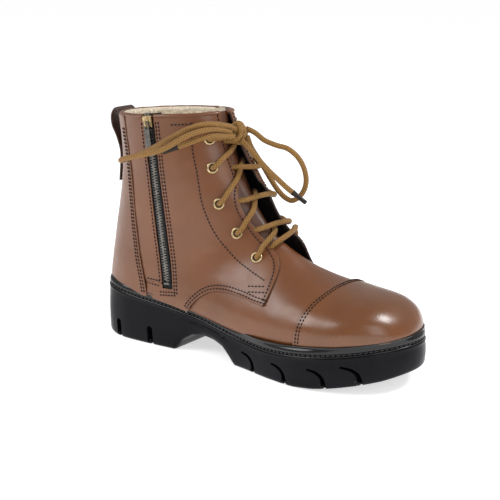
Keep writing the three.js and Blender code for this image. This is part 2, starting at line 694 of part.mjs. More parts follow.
const CHAIN_LOW = -0.5;
const CHAIN_HIGH = CHAIN_LOW + ZIP_CHAIN_THICKNESS;
const chainTop = zipLength - ZIP_STOP_LENGTH - CLEARANCE;
function zipTeeth(front) {
  const hand = front ? 1 : -1;
  const rail = [ZIP_CHAIN_WIDTH / 2, 1.6].map((v) => v * hand).sort((a, b) => a - b);
  const tooth = [1.7, -0.8].map((v) => v * hand).sort((a, b) => a - b);
  let solid = zipBox(ZIP_STOP_LENGTH + CLEARANCE, chainTop, ...rail, CHAIN_LOW, CHAIN_HIGH);
  const start = ZIP_STOP_LENGTH + 1 + (front ? 0 : ZIP_PITCH / 2);
  for (let u = start; u < chainTop - ZIP_TOOTH; u += ZIP_PITCH) {
    solid = solid.add(zipBox(u, u + ZIP_TOOTH, ...tooth, CHAIN_LOW, CHAIN_HIGH));
  }
  return solid;
}

function zipStop(uLow, vLow, vHigh) {
  return zipBox(uLow, uLow + ZIP_STOP_LENGTH, vLow, vHigh, CHAIN_LOW, CHAIN_HIGH + 1);
}

// The slider hugs the chain, and its arch holds the crossbar of the pull tab.
const SLIDER_HIGH = zipLength - ZIP_STOP_LENGTH - CLEARANCE;
const SLIDER_MIDDLE = SLIDER_HIGH - SLIDER_LENGTH / 2;
const PLATE_LOW = CHAIN_HIGH + CLEARANCE;
const PLATE_HIGH = PLATE_LOW + 1.2;
const PIVOT = PLATE_HIGH + 1;
const ARCH_REACH = 2.9;
function zipSlider() {
  const low = SLIDER_HIGH - SLIDER_LENGTH;
  const half = SLIDER_WIDTH / 2;
  const chain = ZIP_CHAIN_WIDTH / 2 + CLEARANCE;
  let solid = zipBox(low, SLIDER_HIGH, -half, half, PLATE_LOW, PLATE_HIGH);
  for (const hand of [-1, 1]) {
    const flange = [hand * chain, hand * half].sort((a, b) => a - b);
    solid = solid.add(zipBox(low, SLIDER_HIGH, ...flange, CHAIN_LOW, PLATE_HIGH));
    const post = [SLIDER_MIDDLE + hand * ARCH_REACH, SLIDER_MIDDLE + hand * (ARCH_REACH + 1)];
    post.sort((a, b) => a - b);
    solid = solid.add(zipBox(...post, -1, 1, PLATE_LOW, PIVOT + 1.9));
  }
  const bar = ARCH_REACH + 1;
  return solid.add(zipBox(SLIDER_MIDDLE - bar, SLIDER_MIDDLE + bar, -1, 1, PIVOT + 0.9, PIVOT + 1.9));
}

function zipPullTab() {
  const half = PULL_TAB_WIDTH / 2;
  const thick = 0.5;
  const low = SLIDER_MIDDLE - PULL_TAB_LENGTH;
  let solid = zipBox(low, SLIDER_MIDDLE + thick, -half, half, PIVOT - thick, PIVOT + thick);
  solid = solid.subtract(
    zipBox(SLIDER_MIDDLE - 5.8, SLIDER_MIDDLE - thick, -1.5, 1.5, PIVOT - 2, PIVOT + 2),
  );
  return solid.subtract(zipBox(low + 3, low + 9, -1, 1, PIVOT - 2, PIVOT + 2));
}

// ---------------------------------------------------------------- laces
const laceRadius = LACE_DIAMETER / 2;
function tube(points, steps, sides = 8) {
  const curve = new THREE.CatmullRomCurve3(points, false, 'centripetal');
  const outline = [];
  for (let i = 0; i < sides; i += 1) {
    const angle = 2 * Math.PI * i / sides;
    outline.push(new THREE.Vector2(laceRadius * Math.cos(angle), laceRadius * Math.sin(angle)));
  }
  return new THREE.ExtrudeGeometry(new THREE.Shape(outline), { steps, extrudePath: curve });
}

// A strand climbs from a medial eyelet to the middle of the tongue, part of the way up to the next.
const STRAND_RISE = 0.62;
function crossStrand(seat, next) {
  const stand = OUTER_TOP + EYELET_SEAT + 2 * EYELET_RIM + CLEARANCE + laceRadius;
  const points = [];
  for (let i = 0; i <= 6; i += 1) {
    const share = i / 6;
    const angle = seat.angle + (0.02 - seat.angle) * share;
    const t = seat.t + (next.t - seat.t) * STRAND_RISE * share;
    points.push(lastPoint(t, angle, stand));
  }
  return tube(points, 8);
}

const KNOT_CENTRE = new THREE.Vector3(-19, -7, 190);
function laceKnot() {
  const geometry = new THREE.SphereGeometry(KNOT_RADIUS, 12, 8);
  geometry.scale(0.8, 1, 1.1);
  geometry.translate(...KNOT_CENTRE.toArray());
  return geometry;
}

// The lace runs from each top eyelet to the back of the knot.
function topStrand(seat, knotSide, bulge) {
  const start = seat.point.clone().addScaledVector(
    seat.normal, EYELET_SEAT + 2 * EYELET_RIM + laceRadius,
  );
  const end = KNOT_CENTRE.clone().add(new THREE.Vector3(...knotSide));
  const between = start.clone().lerp(end, 0.5).addScaledVector(seat.normal, bulge);
  return tube([start, between, end], 5);
}

const vectors = (rows) => rows.map((row) => new THREE.Vector3(...row));
const LEFT_LOOP = vectors([
  [-19.5, -15.3, 194.8], [-25, -27, 198], [-34, -37, 198], [-42, -46, 194], [-52, -52, 189],
  [-64, -56, 179.5], [-78, -57, 172.5], [-94, -56, 168], [-106, -54, 165.5], [-112, -51, 161],
  [-107, -51, 156], [-97, -53, 157.5], [-84, -57, 162.5], [-70, -58, 168.5], [-56, -57, 175.5],
  [-44, -51, 182], [-35, -43, 185.5], [-26, -30, 189], [-19, -16.2, 190],
]);
const LEFT_END = vectors([
  [-15.6, -15.1, 185.2], [-21, -26, 183], [-28, -36, 181], [-35, -46, 179], [-41, -54, 175],
  [-47, -60, 169],
]);
const RIGHT_LOOP = vectors([
  [-16.5, 2.2, 191.5], [-10, 5.5, 188], [-3, 9, 182], [7, 13, 178], [15, 16, 176], [21, 18, 172],
  [26, 20, 166], [29, 22, 158], [30, 23, 149], [28, 23, 141], [23, 22, 134], [17, 21, 131],
  [11, 20, 133], [5, 18, 139], [-1, 15, 149], [-6, 12, 159], [-10, 8, 168], [-13, 4, 176],
  [-15.5, 1.7, 185.2],
]);
const RIGHT_END = vectors([
  [-14.6, -7, 183], [-9, -7, 178.5], [-2, -6, 172], [5, -5, 165], [12, -3, 158], [19, -1, 152],
  [26, 1, 146], [31, 3, 142],
]);

function aglet(route) {
  const tip = route[route.length - 1];
  const way = tip.clone().sub(route[route.length - 2]).normalize();
  const geometry = new THREE.CylinderGeometry(laceRadius - 0.2, laceRadius - 0.5, AGLET_LENGTH, 10);
  geometry.rotateX(Math.PI);
  geometry.applyQuaternion(new THREE.Quaternion().setFromUnitVectors(new THREE.Vector3(0, 1, 0), way));
  const middle = tip.clone().addScaledVector(way, AGLET_LENGTH / 2 + CLEARANCE);
  geometry.translate(middle.x, middle.y, middle.z);
  return geometry;
}

// ---------------------------------------------------------------- materials and scene
const finish = (color, roughness, metalness = 0) => (
  new THREE.MeshStandardMaterial({ color, roughness, metalness })
);
const brownLeather = finish(0x8a5a3c, 0.35);
const darkLeather = finish(0x3a2218, 0.6);
const blackRubber = finish(0x1c1b20, 0.5);
const weltRubber = finish(0x141316, 0.25);
const fleece = finish(0xd8cbb4, 0.95);
const padFoam = finish(0x8c8478, 0.9);
const fibreboard = finish(0x7a6248, 0.9);
const steel = finish(0x8c8f93, 0.35, 1);
const brass = finish(0xc2a368, 0.3, 1);
const gunmetal = finish(0x54524f, 0.4, 1);
const blackTape = finish(0x17161a, 0.85);
const tanLace = finish(0x9c7032, 0.75);
const darkPlastic = finish(0x1b1512, 0.4);

const boot = new THREE.Group();
function put(name, shape, material) {
  const geometry = shape.isBufferGeometry ? shape : geometryOf(shape);
  const mesh = new THREE.Mesh(geometry, material);
  mesh.name = name;
  boot.add(mesh);
}

put('outsole', outsole(), blackRubber);
put('welt', welt(), weltRubber);
put('steel_shank', steelShank(), steel);
put('insole_board', innerSole(CLEARANCE, INSOLE_THICKNESS), fibreboard);
put('footbed', innerSole(2 * CLEARANCE + INSOLE_THICKNESS, FOOTBED_THICKNESS), padFoam);
put('toe_cap', toeCap(), brownLeather);
put('steel_toe_cap', steelToeCap(), steel);
put('vamp', vamp(), brownLeather);
put('quarter_medial', medialQuarter(), brownLeather);
put('rear_panel_medial', rearPanelMedial(), brownLeather);
put('quarter_lateral', lateralQuarter(), brownLeather);
put('heel_panel', heelPanel(), brownLeather);
put('heel_stiffener', heelStiffener(), fibreboard);
put('ankle_padding_medial_front', medialPadding(true), padFoam);
put('ankle_padding_medial_rear', medialPadding(false), padFoam);
put('ankle_padding_lateral', anklePadding(-1), padFoam);
put('tongue', tongue(middleShell), brownLeather);
put('tongue_lining', tongue(liningShell), fleece);
put('fleece_lining', fleeceLining(), fleece);
put('collar_binding', collarBinding(), darkLeather);
put('pull_loop', pullLoop(), darkLeather);

for (const front of [true, false]) {
  const end = front ? 'front' : 'rear';
  put(`zip_tape_${end}`, zipTape(front), blackTape);
  put(`zip_teeth_${end}`, zipTeeth(front), gunmetal);
  const [low, high] = front ? [0.3, 3] : [-3, -0.3];
  put(`zip_top_stop_${end}`, zipStop(chainTop + CLEARANCE, low, high), gunmetal);
}
put('zip_bottom_stop', zipStop(0, -3, 3), gunmetal);
put('zip_slider', zipSlider(), brass);
put('zip_pull_tab', zipPullTab(), gunmetal);

[[medialEyelets, 'medial'], [lateralEyelets, 'lateral']].forEach(([seats, name]) => {
  seats.forEach((seat, i) => put(`eyelet_${name}_${5 - i}`, eyeletGeometry(seat), brass));
});

for (let i = 1; i < 5; i += 1) {
  const level = 5 - i;
  put(`lace_cross_${level}_medial`, crossStrand(medialEyelets[i], medialEyelets[i - 1]), tanLace);
}

put('lace_top_medial', topStrand(medialEyelets[0], [-5, -6.4, -4.5], 2), tanLace);
put('lace_top_lateral', topStrand(lateralEyelets[0], [-3.8, 7.9, 0], 4), tanLace);
put('lace_knot', laceKnot(), tanLace);
put('lace_loop_left', tube(LEFT_LOOP, 22), tanLace);
put('lace_loop_right', tube(RIGHT_LOOP, 20), tanLace);
put('lace_end_left', tube(LEFT_END, 6), tanLace);
put('lace_end_right', tube(RIGHT_END, 8), tanLace);
put('aglet_left', aglet(LEFT_END), darkPlastic);
put('aglet_right', aglet(RIGHT_END), darkPlastic);

export default boot;
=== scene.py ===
import math

import bmesh
import bpy
import numpy as np
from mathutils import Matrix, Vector, kdtree, noise
from mathutils.geometry import delaunay_2d_cdt


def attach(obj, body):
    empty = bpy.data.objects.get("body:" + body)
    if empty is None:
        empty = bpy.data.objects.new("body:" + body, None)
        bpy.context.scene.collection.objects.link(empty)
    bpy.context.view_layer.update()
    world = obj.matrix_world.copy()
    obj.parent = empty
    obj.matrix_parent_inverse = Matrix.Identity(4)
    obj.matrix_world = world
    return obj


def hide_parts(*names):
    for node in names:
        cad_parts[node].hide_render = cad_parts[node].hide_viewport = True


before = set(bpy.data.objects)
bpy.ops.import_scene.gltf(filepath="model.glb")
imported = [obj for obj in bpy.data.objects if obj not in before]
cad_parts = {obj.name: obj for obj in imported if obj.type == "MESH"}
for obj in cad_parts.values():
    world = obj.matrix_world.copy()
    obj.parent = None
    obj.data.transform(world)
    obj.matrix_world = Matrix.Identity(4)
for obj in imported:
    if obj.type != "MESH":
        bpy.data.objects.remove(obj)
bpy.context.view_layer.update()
MM = 0.001
TURN = 2 * math.pi


def new_object(name, data):
    obj = bpy.data.objects.new(name, data)
    bpy.context.scene.collection.objects.link(obj)
    return obj


# ------------------------------------------------------------------ camera
def add_camera():
    azimuth, elevation, distance = math.radians(36), math.radians(14.6), 0.970
    target = Vector((-0.009, -0.003, 0.089))
    back = Vector((
        math.sin(azimuth) * math.cos(elevation),
        -math.cos(azimuth) * math.cos(elevation),
        math.sin(elevation),
    ))
    data = bpy.data.cameras.new("camera")
    data.lens = 82.3
    camera = new_object("camera", data)
    camera.location = target + back * distance
    camera.rotation_euler = (-back).to_track_quat("-Z", "Y").to_euler()
    bpy.context.scene.camera = camera


add_camera()


# ------------------------------------------------------------------ small helpers
def unit(v):
    return v / np.maximum(np.linalg.norm(v, axis=-1, keepdims=True), 1e-9)


def smooth(u):
    v = np.clip(u, 0, 1)
    return v * v * (3 - 2 * v)


def resampled(points, step):
    """The polyline again, with evenly spaced points."""
    points = np.asarray(points, float)
    run = np.r_[0, np.cumsum(np.linalg.norm(np.diff(points, axis=0), axis=1))]
    count = max(2, int(round(run[-1] / step)) + 1)
    at = np.linspace(0, run[-1], count)
    return np.stack([np.interp(at, run, column) for column in points.T], 1)


def curve(points, step=1.0, closed=False):
    """A centripetal Catmull-Rom curve through the points, as an even polyline."""
    p = np.asarray(points, float)
    if closed:
        p = np.vstack([p[-1], p, p[0], p[1]])
    else:
        p = np.vstack([2 * p[0] - p[1], p, 2 * p[-1] - p[-2]])
    out = []
    for i in range(1, len(p) - 2):
        a, b, c, d = p[i - 1:i + 3]
        k0, k1, k2 = (max(np.linalg.norm(y - x) ** 0.5, 1e-6) for x, y in ((a, b), (b, c), (c, d)))
        t1, t2, t3 = k0, k0 + k1, k0 + k1 + k2
        t = np.linspace(t1, t2, 16, endpoint=False)[:, None]
        a1 = (t1 - t) / t1 * a + t / t1 * b
        a2 = (t2 - t) / k1 * b + (t - t1) / k1 * c
        a3 = (t3 - t) / k2 * c + (t - t2) / k2 * d
        b1 = (t2 - t) / t2 * a1 + t / t2 * a2
        b2 = (t3 - t) / (t3 - t1) * a2 + (t - t1) / (t3 - t1) * a3
        out.append((t2 - t) / k1 * b1 + (t - t1) / k1 * b2)
    out.append(p[-2][None])
    return resampled(np.vstack(out), step)


def shifted(points, distance):
    """A side-view polyline moved sideways, to the left of its direction."""
    points = np.asarray(points, float)
    way = unit(np.gradient(points, axis=0))
    return points + np.stack([-way[:, 1], way[:, 0]], 1) * distance


def wobble(points, scale, seed=0.0):
    """Smooth noise from -1 to 1 at each point; scale is its size in millimetres."""
    return np.array([noise.noise(Vector(p) / scale + Vector((seed, seed, seed))) for p in points])


def mesh_object(name, verts, faces, material, sharp=None):
    mesh = bpy.data.meshes.new(name)
    mesh.from_pydata((np.asarray(verts) * MM).tolist(), [], [list(map(int, f)) for f in faces])
    mesh.validate()
    mesh.polygons.foreach_set("use_smooth", [True] * len(mesh.polygons))
    if sharp:
        mesh.set_sharp_from_angle(angle=math.radians(sharp))
    mesh.materials.append(material)
    return new_object(name, mesh)


def piece(obj, slot, *nodes, body="boot"):
    """Rides on a body and stands for the CAD nodes, which it hides. The slot is not used."""
    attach(obj, body)
    if nodes:
        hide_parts(*nodes)
    return obj


def bevelled(obj, width, segments=2, angle=35):
    bevel = obj.modifiers.new("bevel", "BEVEL")
    bevel.width = width * MM
    bevel.segments = segments
    bevel.limit_method = "ANGLE"
    bevel.angle_limit = math.radians(angle)
    return obj


def thickened(obj, thickness, offset=-1):
    solid = obj.modifiers.new("thickness", "SOLIDIFY")
    solid.thickness = thickness * MM
    solid.offset = offset
    return solid


def joined(parts):
    """One list of points and faces out of several (points, faces)."""
    verts, faces, start = [], [], 0
    for v, f in parts:
        verts.append(np.asarray(v, float))
        faces.extend([tuple(i + start for i in face) for face in f])
        start += len(v)
    return np.vstack(verts), faces


def row_faces(rows, columns, around=True, closed=False):
    """Quads between rows of points; each row is a ring if around, and closed joins last and first."""
    faces = []
    for i in range(rows if closed else rows - 1):
        first, second = i * columns, (i + 1) % rows * columns
        for j in range(columns if around else columns - 1):
            k = (j + 1) % columns
            faces.append((first + j, first + k, second + k, second + j))
    return faces


def flipped(faces):
    """The faces seen from their other side, each from the same corner."""
    return [(face[0], *face[:0:-1]) for face in faces]


def capped_faces(rows, columns):
    """Quads between rings of points, and a face over each end."""
    last = (rows - 1) * columns
    ends = [tuple(range(columns))[::-1], tuple(last + j for j in range(columns))]
    return row_faces(rows, columns) + ends


def path_frames(path):
    """Two directions across the path at each point, turning as little as they can."""
    way = unit(np.gradient(path, axis=0))
    first = np.cross(way[0], (0, 0, 1.0))
    if np.linalg.norm(first) < 0.1:
        first = np.cross(way[0], (0, 1.0, 0))
    side = [unit(first)]
    for w in way[1:]:
        side.append(unit(side[-1] - w * side[-1].dot(w)))
    side = np.array(side)
    return side, np.cross(way, side)


def tube_mesh(path, radii, sides=12):
    side, up = path_frames(path)
    turn = np.linspace(0, TURN, sides, endpoint=False)
    ring = side[:, None] * np.cos(turn)[:, None] + up[:, None] * np.sin(turn)[:, None]
    radii = np.broadcast_to(radii, len(path))
    verts = path[:, None] + ring * radii[:, None, None]
    return verts.reshape(-1, 3), capped_faces(len(path), sides)


def along_uv(obj, path, sides):
    """UV of a tube: u in millimetres along the path, v once around."""
    run = np.r_[0, np.cumsum(np.linalg.norm(np.diff(path, axis=0), axis=1))]
    layer = obj.data.uv_layers.new(name="UVMap")
    for polygon in obj.data.polygons:
        ring = [obj.data.loops[k].vertex_index % sides for k in polygon.loop_indices]
        wraps = len(ring) == 4 and max(ring) - min(ring) > sides / 2
        for k, column in zip(polygon.loop_indices, ring):
            row = obj.data.loops[k].vertex_index // sides
            turned = column + sides if wraps and column < sides / 2 else column
            layer.data[k].uv = (run[row], turned / sides)


# ------------------------------------------------------------------ materials
def new_material(
    name, colour, roughness, metallic=0.0, coat=0.0, coat_roughness=0.1, sheen=0.0, specular=0.5,
):
    material = bpy.data.materials.new(name)
    material.use_nodes = True
    shader = material.node_tree.nodes["Principled BSDF"]
    for key, value in {
        "Base Color": (*colour, 1), "Roughness": roughness, "Metallic": metallic, "Coat Weight": coat,
        "Coat Roughness": coat_roughness, "Sheen Weight": sheen, "Specular IOR Level": specular,
    }.items():
        shader.inputs[key].default_value = value
    return material


def feed(tree, socket, value):
    """Links a socket to the input, or sets the input to a plain value."""
    if isinstance(value, bpy.types.NodeSocket):
        tree.links.new(value, socket)
    else:
        socket.default_value = value


def node(tree, kind, **values):
    """A new node; each value goes to the input of its name, or else to the node's own setting."""
    made = tree.nodes.new(kind)
    for key, value in values.items():
        if key in made.inputs:
            feed(tree, made.inputs[key], value)
        else:
            setattr(made, key, value)
    return made


def maths(tree, operation, *values):
    made = node(tree, "ShaderNodeMath", operation=operation)
    for socket, value in zip(made.inputs, values):
        feed(tree, socket, value)
    return made.outputs[0]


def noise_node(tree, scale, detail=3.0, stretch=None, roughness=0.55):
    """Object-space noise; scale is in features per metre."""
    place = node(tree, "ShaderNodeTexCoord").outputs["Object"]
    if stretch:
        place = node(tree, "ShaderNodeMapping", Vector=place, Scale=stretch).outputs["Vector"]
    made = node(tree, "ShaderNodeTexNoise", Vector=place, Scale=scale, Detail=detail, Roughness=roughness)
    return made.outputs["Fac"]


def voronoi_node(tree, scale):
    place = node(tree, "ShaderNodeTexCoord").outputs["Object"]
    made = node(tree, "ShaderNodeTexVoronoi", Vector=place, Scale=scale, feature="DISTANCE_TO_EDGE")
    return made.outputs["Distance"]


def ramp(tree, source, colour, stops):
    """Shades of a colour along the source value; stops are (position, factor)."""
    made = node(tree, "ShaderNodeValToRGB", Fac=source)
    elements = made.color_ramp.elements
    while len(elements) < len(stops):
        elements.new(0.5)
    for element, (position, factor) in zip(elements, stops):
        element.position = position
        element.color = (*(min(c * factor, 1) for c in colour), 1)
    return made.outputs["Color"]


def spread(tree, source, low, high, start=0.3, end=0.7):
    made = node(tree, "ShaderNodeMapRange", **{
        "Value": source, "From Min": start, "From Max": end, "To Min": low, "To Max": high,
    })
    return made.outputs["Result"]


def dressed(material, tone, colour, stops, bumps, wear=None):
    """Shades along the tone, bumps (height source, strength, depth in millimetres) from coarse to fine,
    and roughness from wear (source, low, high)."""
    tree = material.node_tree
    shader = tree.nodes["Principled BSDF"]
    feed(tree, shader.inputs["Base Color"], ramp(tree, tone, colour, stops))
    if wear:
        feed(tree, shader.inputs["Roughness"], spread(tree, *wear))
    below = {}
    for source, strength, depth in bumps:
        made = node(tree, "ShaderNodeBump", Height=source, Strength=strength, Distance=depth * MM, **below)
        below = {"Normal": made.outputs["Normal"]}
    feed(tree, shader.inputs["Normal"], below["Normal"])
    return material


def leather(name, colour, roughness, coat):
    variation = 0.16
    material = new_material(name, colour, roughness, coat=coat, coat_roughness=0.22)
    tree = material.node_tree
    bumps = [
        (noise_node(tree, 26, 2), 0.35, 1.1), (noise_node(tree, 120, 4, (1, 1, 0.45)), 0.30, 0.35),
        (voronoi_node(tree, 950), 0.30, 0.06), (noise_node(tree, 2600, 2), 0.25, 0.03),
    ]
    stops = [(0.3, 1 - variation), (0.55, 1), (0.75, 1 + variation)]
    wear = noise_node(tree, 60, 6, roughness=0.7), roughness - 0.05, roughness + 0.1
    return dressed(material, noise_node(tree, 22, 4), colour, stops, bumps, wear)


def rubber(name, colour, roughness, coat=0.0, gloss=0.5):
    material = new_material(name, colour, roughness, coat=coat, coat_roughness=0.12, specular=gloss)
    tree = material.node_tree
    dust = noise_node(tree, 45, 6, roughness=0.7)
    bumps = [(noise_node(tree, 35, 2), 0.3, 0.7), (noise_node(tree, 1500, 3), 0.25, 0.05)]
    wear = dust, roughness - 0.06, roughness + 0.12
    return dressed(material, dust, colour, [(0.35, 0.8), (0.7, 1.5)], bumps, wear)


def metal(name, colour, roughness):
    material = new_material(name, colour, roughness, metallic=1.0)
    tree = material.node_tree
    tarnish = noise_node(tree, 350, 5)
    bumps = [(noise_node(tree, 1800, 3), 0.25, 0.03)]
    wear = tarnish, roughness + 0.2, roughness
    return dressed(material, tarnish, colour, [(0.35, 0.55), (0.6, 1)], bumps, wear)


def fibre(name, colour, roughness, weave, depth, sheen=0.3):
    """Cloth, thread or board: object-space fibres of the given fineness."""
    material = new_material(name, colour, roughness, sheen=sheen, specular=0.2)
    tree = material.node_tree
    bumps = [(noise_node(tree, weave, 4), 0.6, depth), (voronoi_node(tree, weave * 1.7), 0.4, depth / 2)]
    stops = [(0.3, 0.62), (0.55, 1), (0.8, 1.3)]
    return dressed(material, noise_node(tree, weave * 0.6, 4), colour, stops, bumps)


def braid(name, colour):
    """A round braided lace: two sets of yarns that wind past each other, from the tube's UV."""
    turns_per_mm, yarns_around = 0.42, 5.0
    material = new_material(name, colour, 0.55, sheen=0.08, specular=0.3)
    tree = material.node_tree
    uv = node(tree, "ShaderNodeTexCoord").outputs["UV"]
    waves = []
    for hand in (-1, 1):
        wound = node(tree, "ShaderNodeMapping", Vector=uv, Scale=(turns_per_mm, yarns_around * hand, 1))
        split = node(tree, "ShaderNodeSeparateXYZ", Vector=wound.outputs["Vector"])
        total = maths(tree, "ADD", split.outputs["X"], split.outputs["Y"])
        waves.append(maths(tree, "SINE", maths(tree, "MULTIPLY", total, TURN)))
    height = maths(tree, "MAXIMUM", *waves)
    # Painted shade and highlight: the colour follows the yarns' height, darker in the grooves between them
    # and lighter on their crowns.
    tone = spread(tree, height, 0, 1, -0.3, 1.0)
    bumps = [(height, 0.7, 0.35), (noise_node(tree, 2500, 3), 0.4, 0.06)]
    return dressed(material, tone, colour, [(0.0, 0.62), (0.5, 1), (1.0, 1.25)], bumps)


BROWN = leather("brown_leather", (0.160, 0.053, 0.015), 0.36, 0.18)
CAP_BROWN = leather("cap_leather", (0.152, 0.050, 0.012), 0.28, 0.28)
# The tongue's leather is the boot's brown darkened as painted shade, for the shadow between the facings.
TONGUE_SHADED_BROWN = leather("tongue_shaded_brown", (0.095, 0.034, 0.014), 0.42, 0.12)
EDGE_BROWN = leather("edge_leather", (0.042, 0.018, 0.011), 0.5, 0.05)
DARK_BROWN = leather("dark_leather", (0.055, 0.026, 0.017), 0.5, 0.05)
LINING_BROWN = leather("lining_leather", (0.032, 0.026, 0.028), 0.45, 0.0)
SOLE = rubber("sole_rubber", (0.0042, 0.0042, 0.006), 0.28, gloss=0.1)
WELT = rubber("welt_rubber", (0.005, 0.005, 0.006), 0.20, 0.22, 0.3)
FLEECE = fibre("fleece", (0.72, 0.62, 0.47), 0.95, 900, 0.6, 0.5)
FOAM = fibre("foam", (0.32, 0.28, 0.24), 0.9, 700, 0.3, 0.1)
BOARD = fibre("fibreboard", (0.24, 0.15, 0.08), 0.85, 500, 0.2, 0.1)
STEEL = metal("steel", (0.42, 0.42, 0.44), 0.3)
BRASS = metal("brass", (0.66, 0.50, 0.27), 0.24)
GUNMETAL = metal("gunmetal", (0.19, 0.18, 0.165), 0.28)
TAPE = fibre("zip_tape", (0.012, 0.012, 0.014), 0.8, 1400, 0.15, 0.2)
LACE = braid("lace_braid", (0.25, 0.127, 0.030))
AGLET = rubber("aglet_plastic", (0.012, 0.007, 0.004), 0.3, gloss=0.25)
THREAD = fibre("thread", (0.022, 0.010, 0.007), 0.6, 2200, 0.1, 0.05)
WELT_THREAD = fibre("welt_thread", (0.020, 0.020, 0.022), 0.35, 2200, 0.1, 0.2)


# ------------------------------------------------------------------ laces
LACE_RADIUS = 2.25
KNOT = np.array([-19.0, -7, 190])
LEFT_LOOP = [
    (-19.5, -15.3, 194.8), (-19.7, -27, 197.6), (-21.5, -38, 199.5), (-26, -46.5, 199.3),
    (-34.4, -51.5, 196.3), (-45.6, -54.5, 190.4), (-60.4, -56, 182.2), (-74.5, -55.6, 175.2),
    (-87, -52.9, 170.2), (-92, -53.9, 168.1), (-95.1, -57.4, 166.6), (-96.2, -62, 166),
    (-95.1, -66.6, 166.1), (-92, -70.1, 167.3), (-87.6, -71.4, 168.9), (-76.7, -71.9, 171.8),
    (-65.3, -70.2, 174.8), (-53.8, -67, 178.1), (-44.1, -64, 183), (-36, -60.5, 188.6),
    (-27.9, -54.5, 193.2), (-22.4, -46, 195.3), (-20, -36, 195.1), (-19.4, -26, 193.2),
    (-19, -16.2, 190),
]
LEFT_END = [
    (-16.5, -15.3, 187), (-18.6, -27, 188.6), (-20.4, -38, 190), (-25.4, -47.5, 188.6),
    (-32.3, -53, 185.4), (-42.7, -57, 181),
]
RIGHT_LOOP = [
    (-16.5, 2.2, 191.5), (-10, 5.5, 188), (-3, 9, 182), (7, 13, 178), (15, 16, 176), (21, 18, 172),
    (26, 20, 166), (29, 22, 158), (30, 23, 149), (28, 23, 141), (23, 22, 134), (17, 21, 131),
    (11, 20, 133), (5, 18, 139), (-1, 15, 149), (-6, 12, 159), (-10, 8, 168), (-13, 4, 176),
    (-15.5, 1.7, 185.2),
]
RIGHT_END = [
    (-14.6, -7, 183), (-9, -7, 178.5), (-2, -6, 172), (5, -5, 165), (12, -3, 158), (19, -1, 152),
    (26, 1, 146), (31, 3, 142),
]


def lace(name, path, *nodes, sides=12, radii=LACE_RADIUS):
    obj = mesh_object(name, *tube_mesh(path, radii, sides), LACE)
    along_uv(obj, path, sides)
    return piece(obj, "lace_cord", *nodes)


def free_lace(name, points, node_name):
    path = curve(points, 1.2)
    obj = lace(name, path, node_name)


def add_aglet(name, points, node_name):
    """The dark tip: a crimped sleeve over the end of the lace."""
    path = curve(points, 1.2)
    way = unit(path[-1] - path[-2])
    run = np.array([-1.5, -1.2, -0.2, 0.3, 4, 8, 12.2, 13.0, 13.2])
    radii = np.array([2.0, 2.45, 2.5, 2.2, 2.0, 1.9, 1.8, 1.5, 0.7])
    obj = mesh_object(name, *tube_mesh(path[-1] + run[:, None] * way, radii, 20), AGLET, sharp=50)
    return piece(obj, "aglet_plastic", node_name)


left_aglet = add_aglet("lace_tip_left", LEFT_END, "aglet_left")
right_aglet = add_aglet("lace_tip_right", RIGHT_END, "aglet_right")
free_lace("bow_loop_left", LEFT_LOOP, "lace_loop_left")
free_lace("bow_loop_right", RIGHT_LOOP, "lace_loop_right")
free_lace("bow_end_left", LEFT_END, "lace_end_left")
free_lace("bow_end_right", RIGHT_END, "lace_end_right")


def add_knot():
    """The bow's knot: two turns around the crossing of the loops, over the first crossing."""
    parts = []
    for shift, tilt, wide, high in ((-1.9, 0.25, 4.6, 6.4), (2.1, -0.1, 5.0, 6.6)):
        turn = np.linspace(0, TURN, 41)
        loop = np.stack([wide * np.cos(turn), shift + tilt * high * np.sin(turn), high * np.sin(turn)], 1)
        parts.append(curve(KNOT + loop, 1.0))
    crossing = curve(KNOT + np.array([(-3, -9, 2), (0, -5, 3), (1, 0, 0), (0, 5, -3), (-3, 8.5, -3)]), 1.0)
    under = curve(KNOT + np.array([(-4, -8, -5), (-2, -4, -4), (0, 0, 1), (-1, 4, 3), (-3, 8, 2)]), 1.0)
    objects = [
        lace(f"knot_strand_{i}", path, radii=2.3) for i, path in enumerate(parts + [crossing, under])
    ]
    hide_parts("lace_knot")


add_knot()

# ------------------------------------------------------------------ the last
# Rows from the collar round to the toe: back x z, front x z, medial and lateral half-width, centre y,
# fullness of the front and back half, and where the section is widest.
SECTIONS = np.array([
    [-139, 198, -33, 205, 36, 36, -7, 2.0, 2.0, 0.50], [-136, 170, -27, 180, 36, 36, -7, 2.0, 2.0, 0.50],
    [-138, 135, -16, 154, 36, 36, -7, 2.0, 2.0, 0.48], [-146, 92, -3, 133, 36, 36, -7, 1.9, 2.1, 0.44],
    [-149, 62, 8, 119, 36, 36, -7, 1.8, 2.3, 0.40], [-146, 36, 17, 110, 36, 37, -7, 1.75, 2.6, 0.38],
    [-112, 26, 26, 102, 37, 39, -6, 1.75, 3.0, 0.36], [-66, 24, 38, 94, 39, 42, -5, 1.8, 3.0, 0.36],
    [-16, 21, 52, 86, 44, 48, -4, 1.85, 3.0, 0.36], [27, 13, 67, 79, 48, 54, -3, 1.95, 3.0, 0.445],
    [56, 13, 86, 74, 50, 56, -3, 2.1, 3.0, 0.47], [77, 14, 105, 71, 49, 55, -3, 2.2, 3.0, 0.48],
    [91, 15, 123, 68, 46, 52, -3, 2.3, 2.9, 0.49], [103, 17, 137, 61, 40, 46, -2, 2.3, 2.7, 0.51],
    [112, 20, 145, 52, 32, 38, -2, 2.2, 2.5, 0.53], [119, 23, 148, 43, 23, 29, -2, 2.1, 2.3, 0.55],
    [127, 28, 146, 36, 13, 17, -2, 2.0, 2.1, 0.50], [136, 31, 139, 33, 1.5, 1.5, -2, 2.0, 2.0, 0.50],
], float)
LAST_ROW = len(SECTIONS) - 1


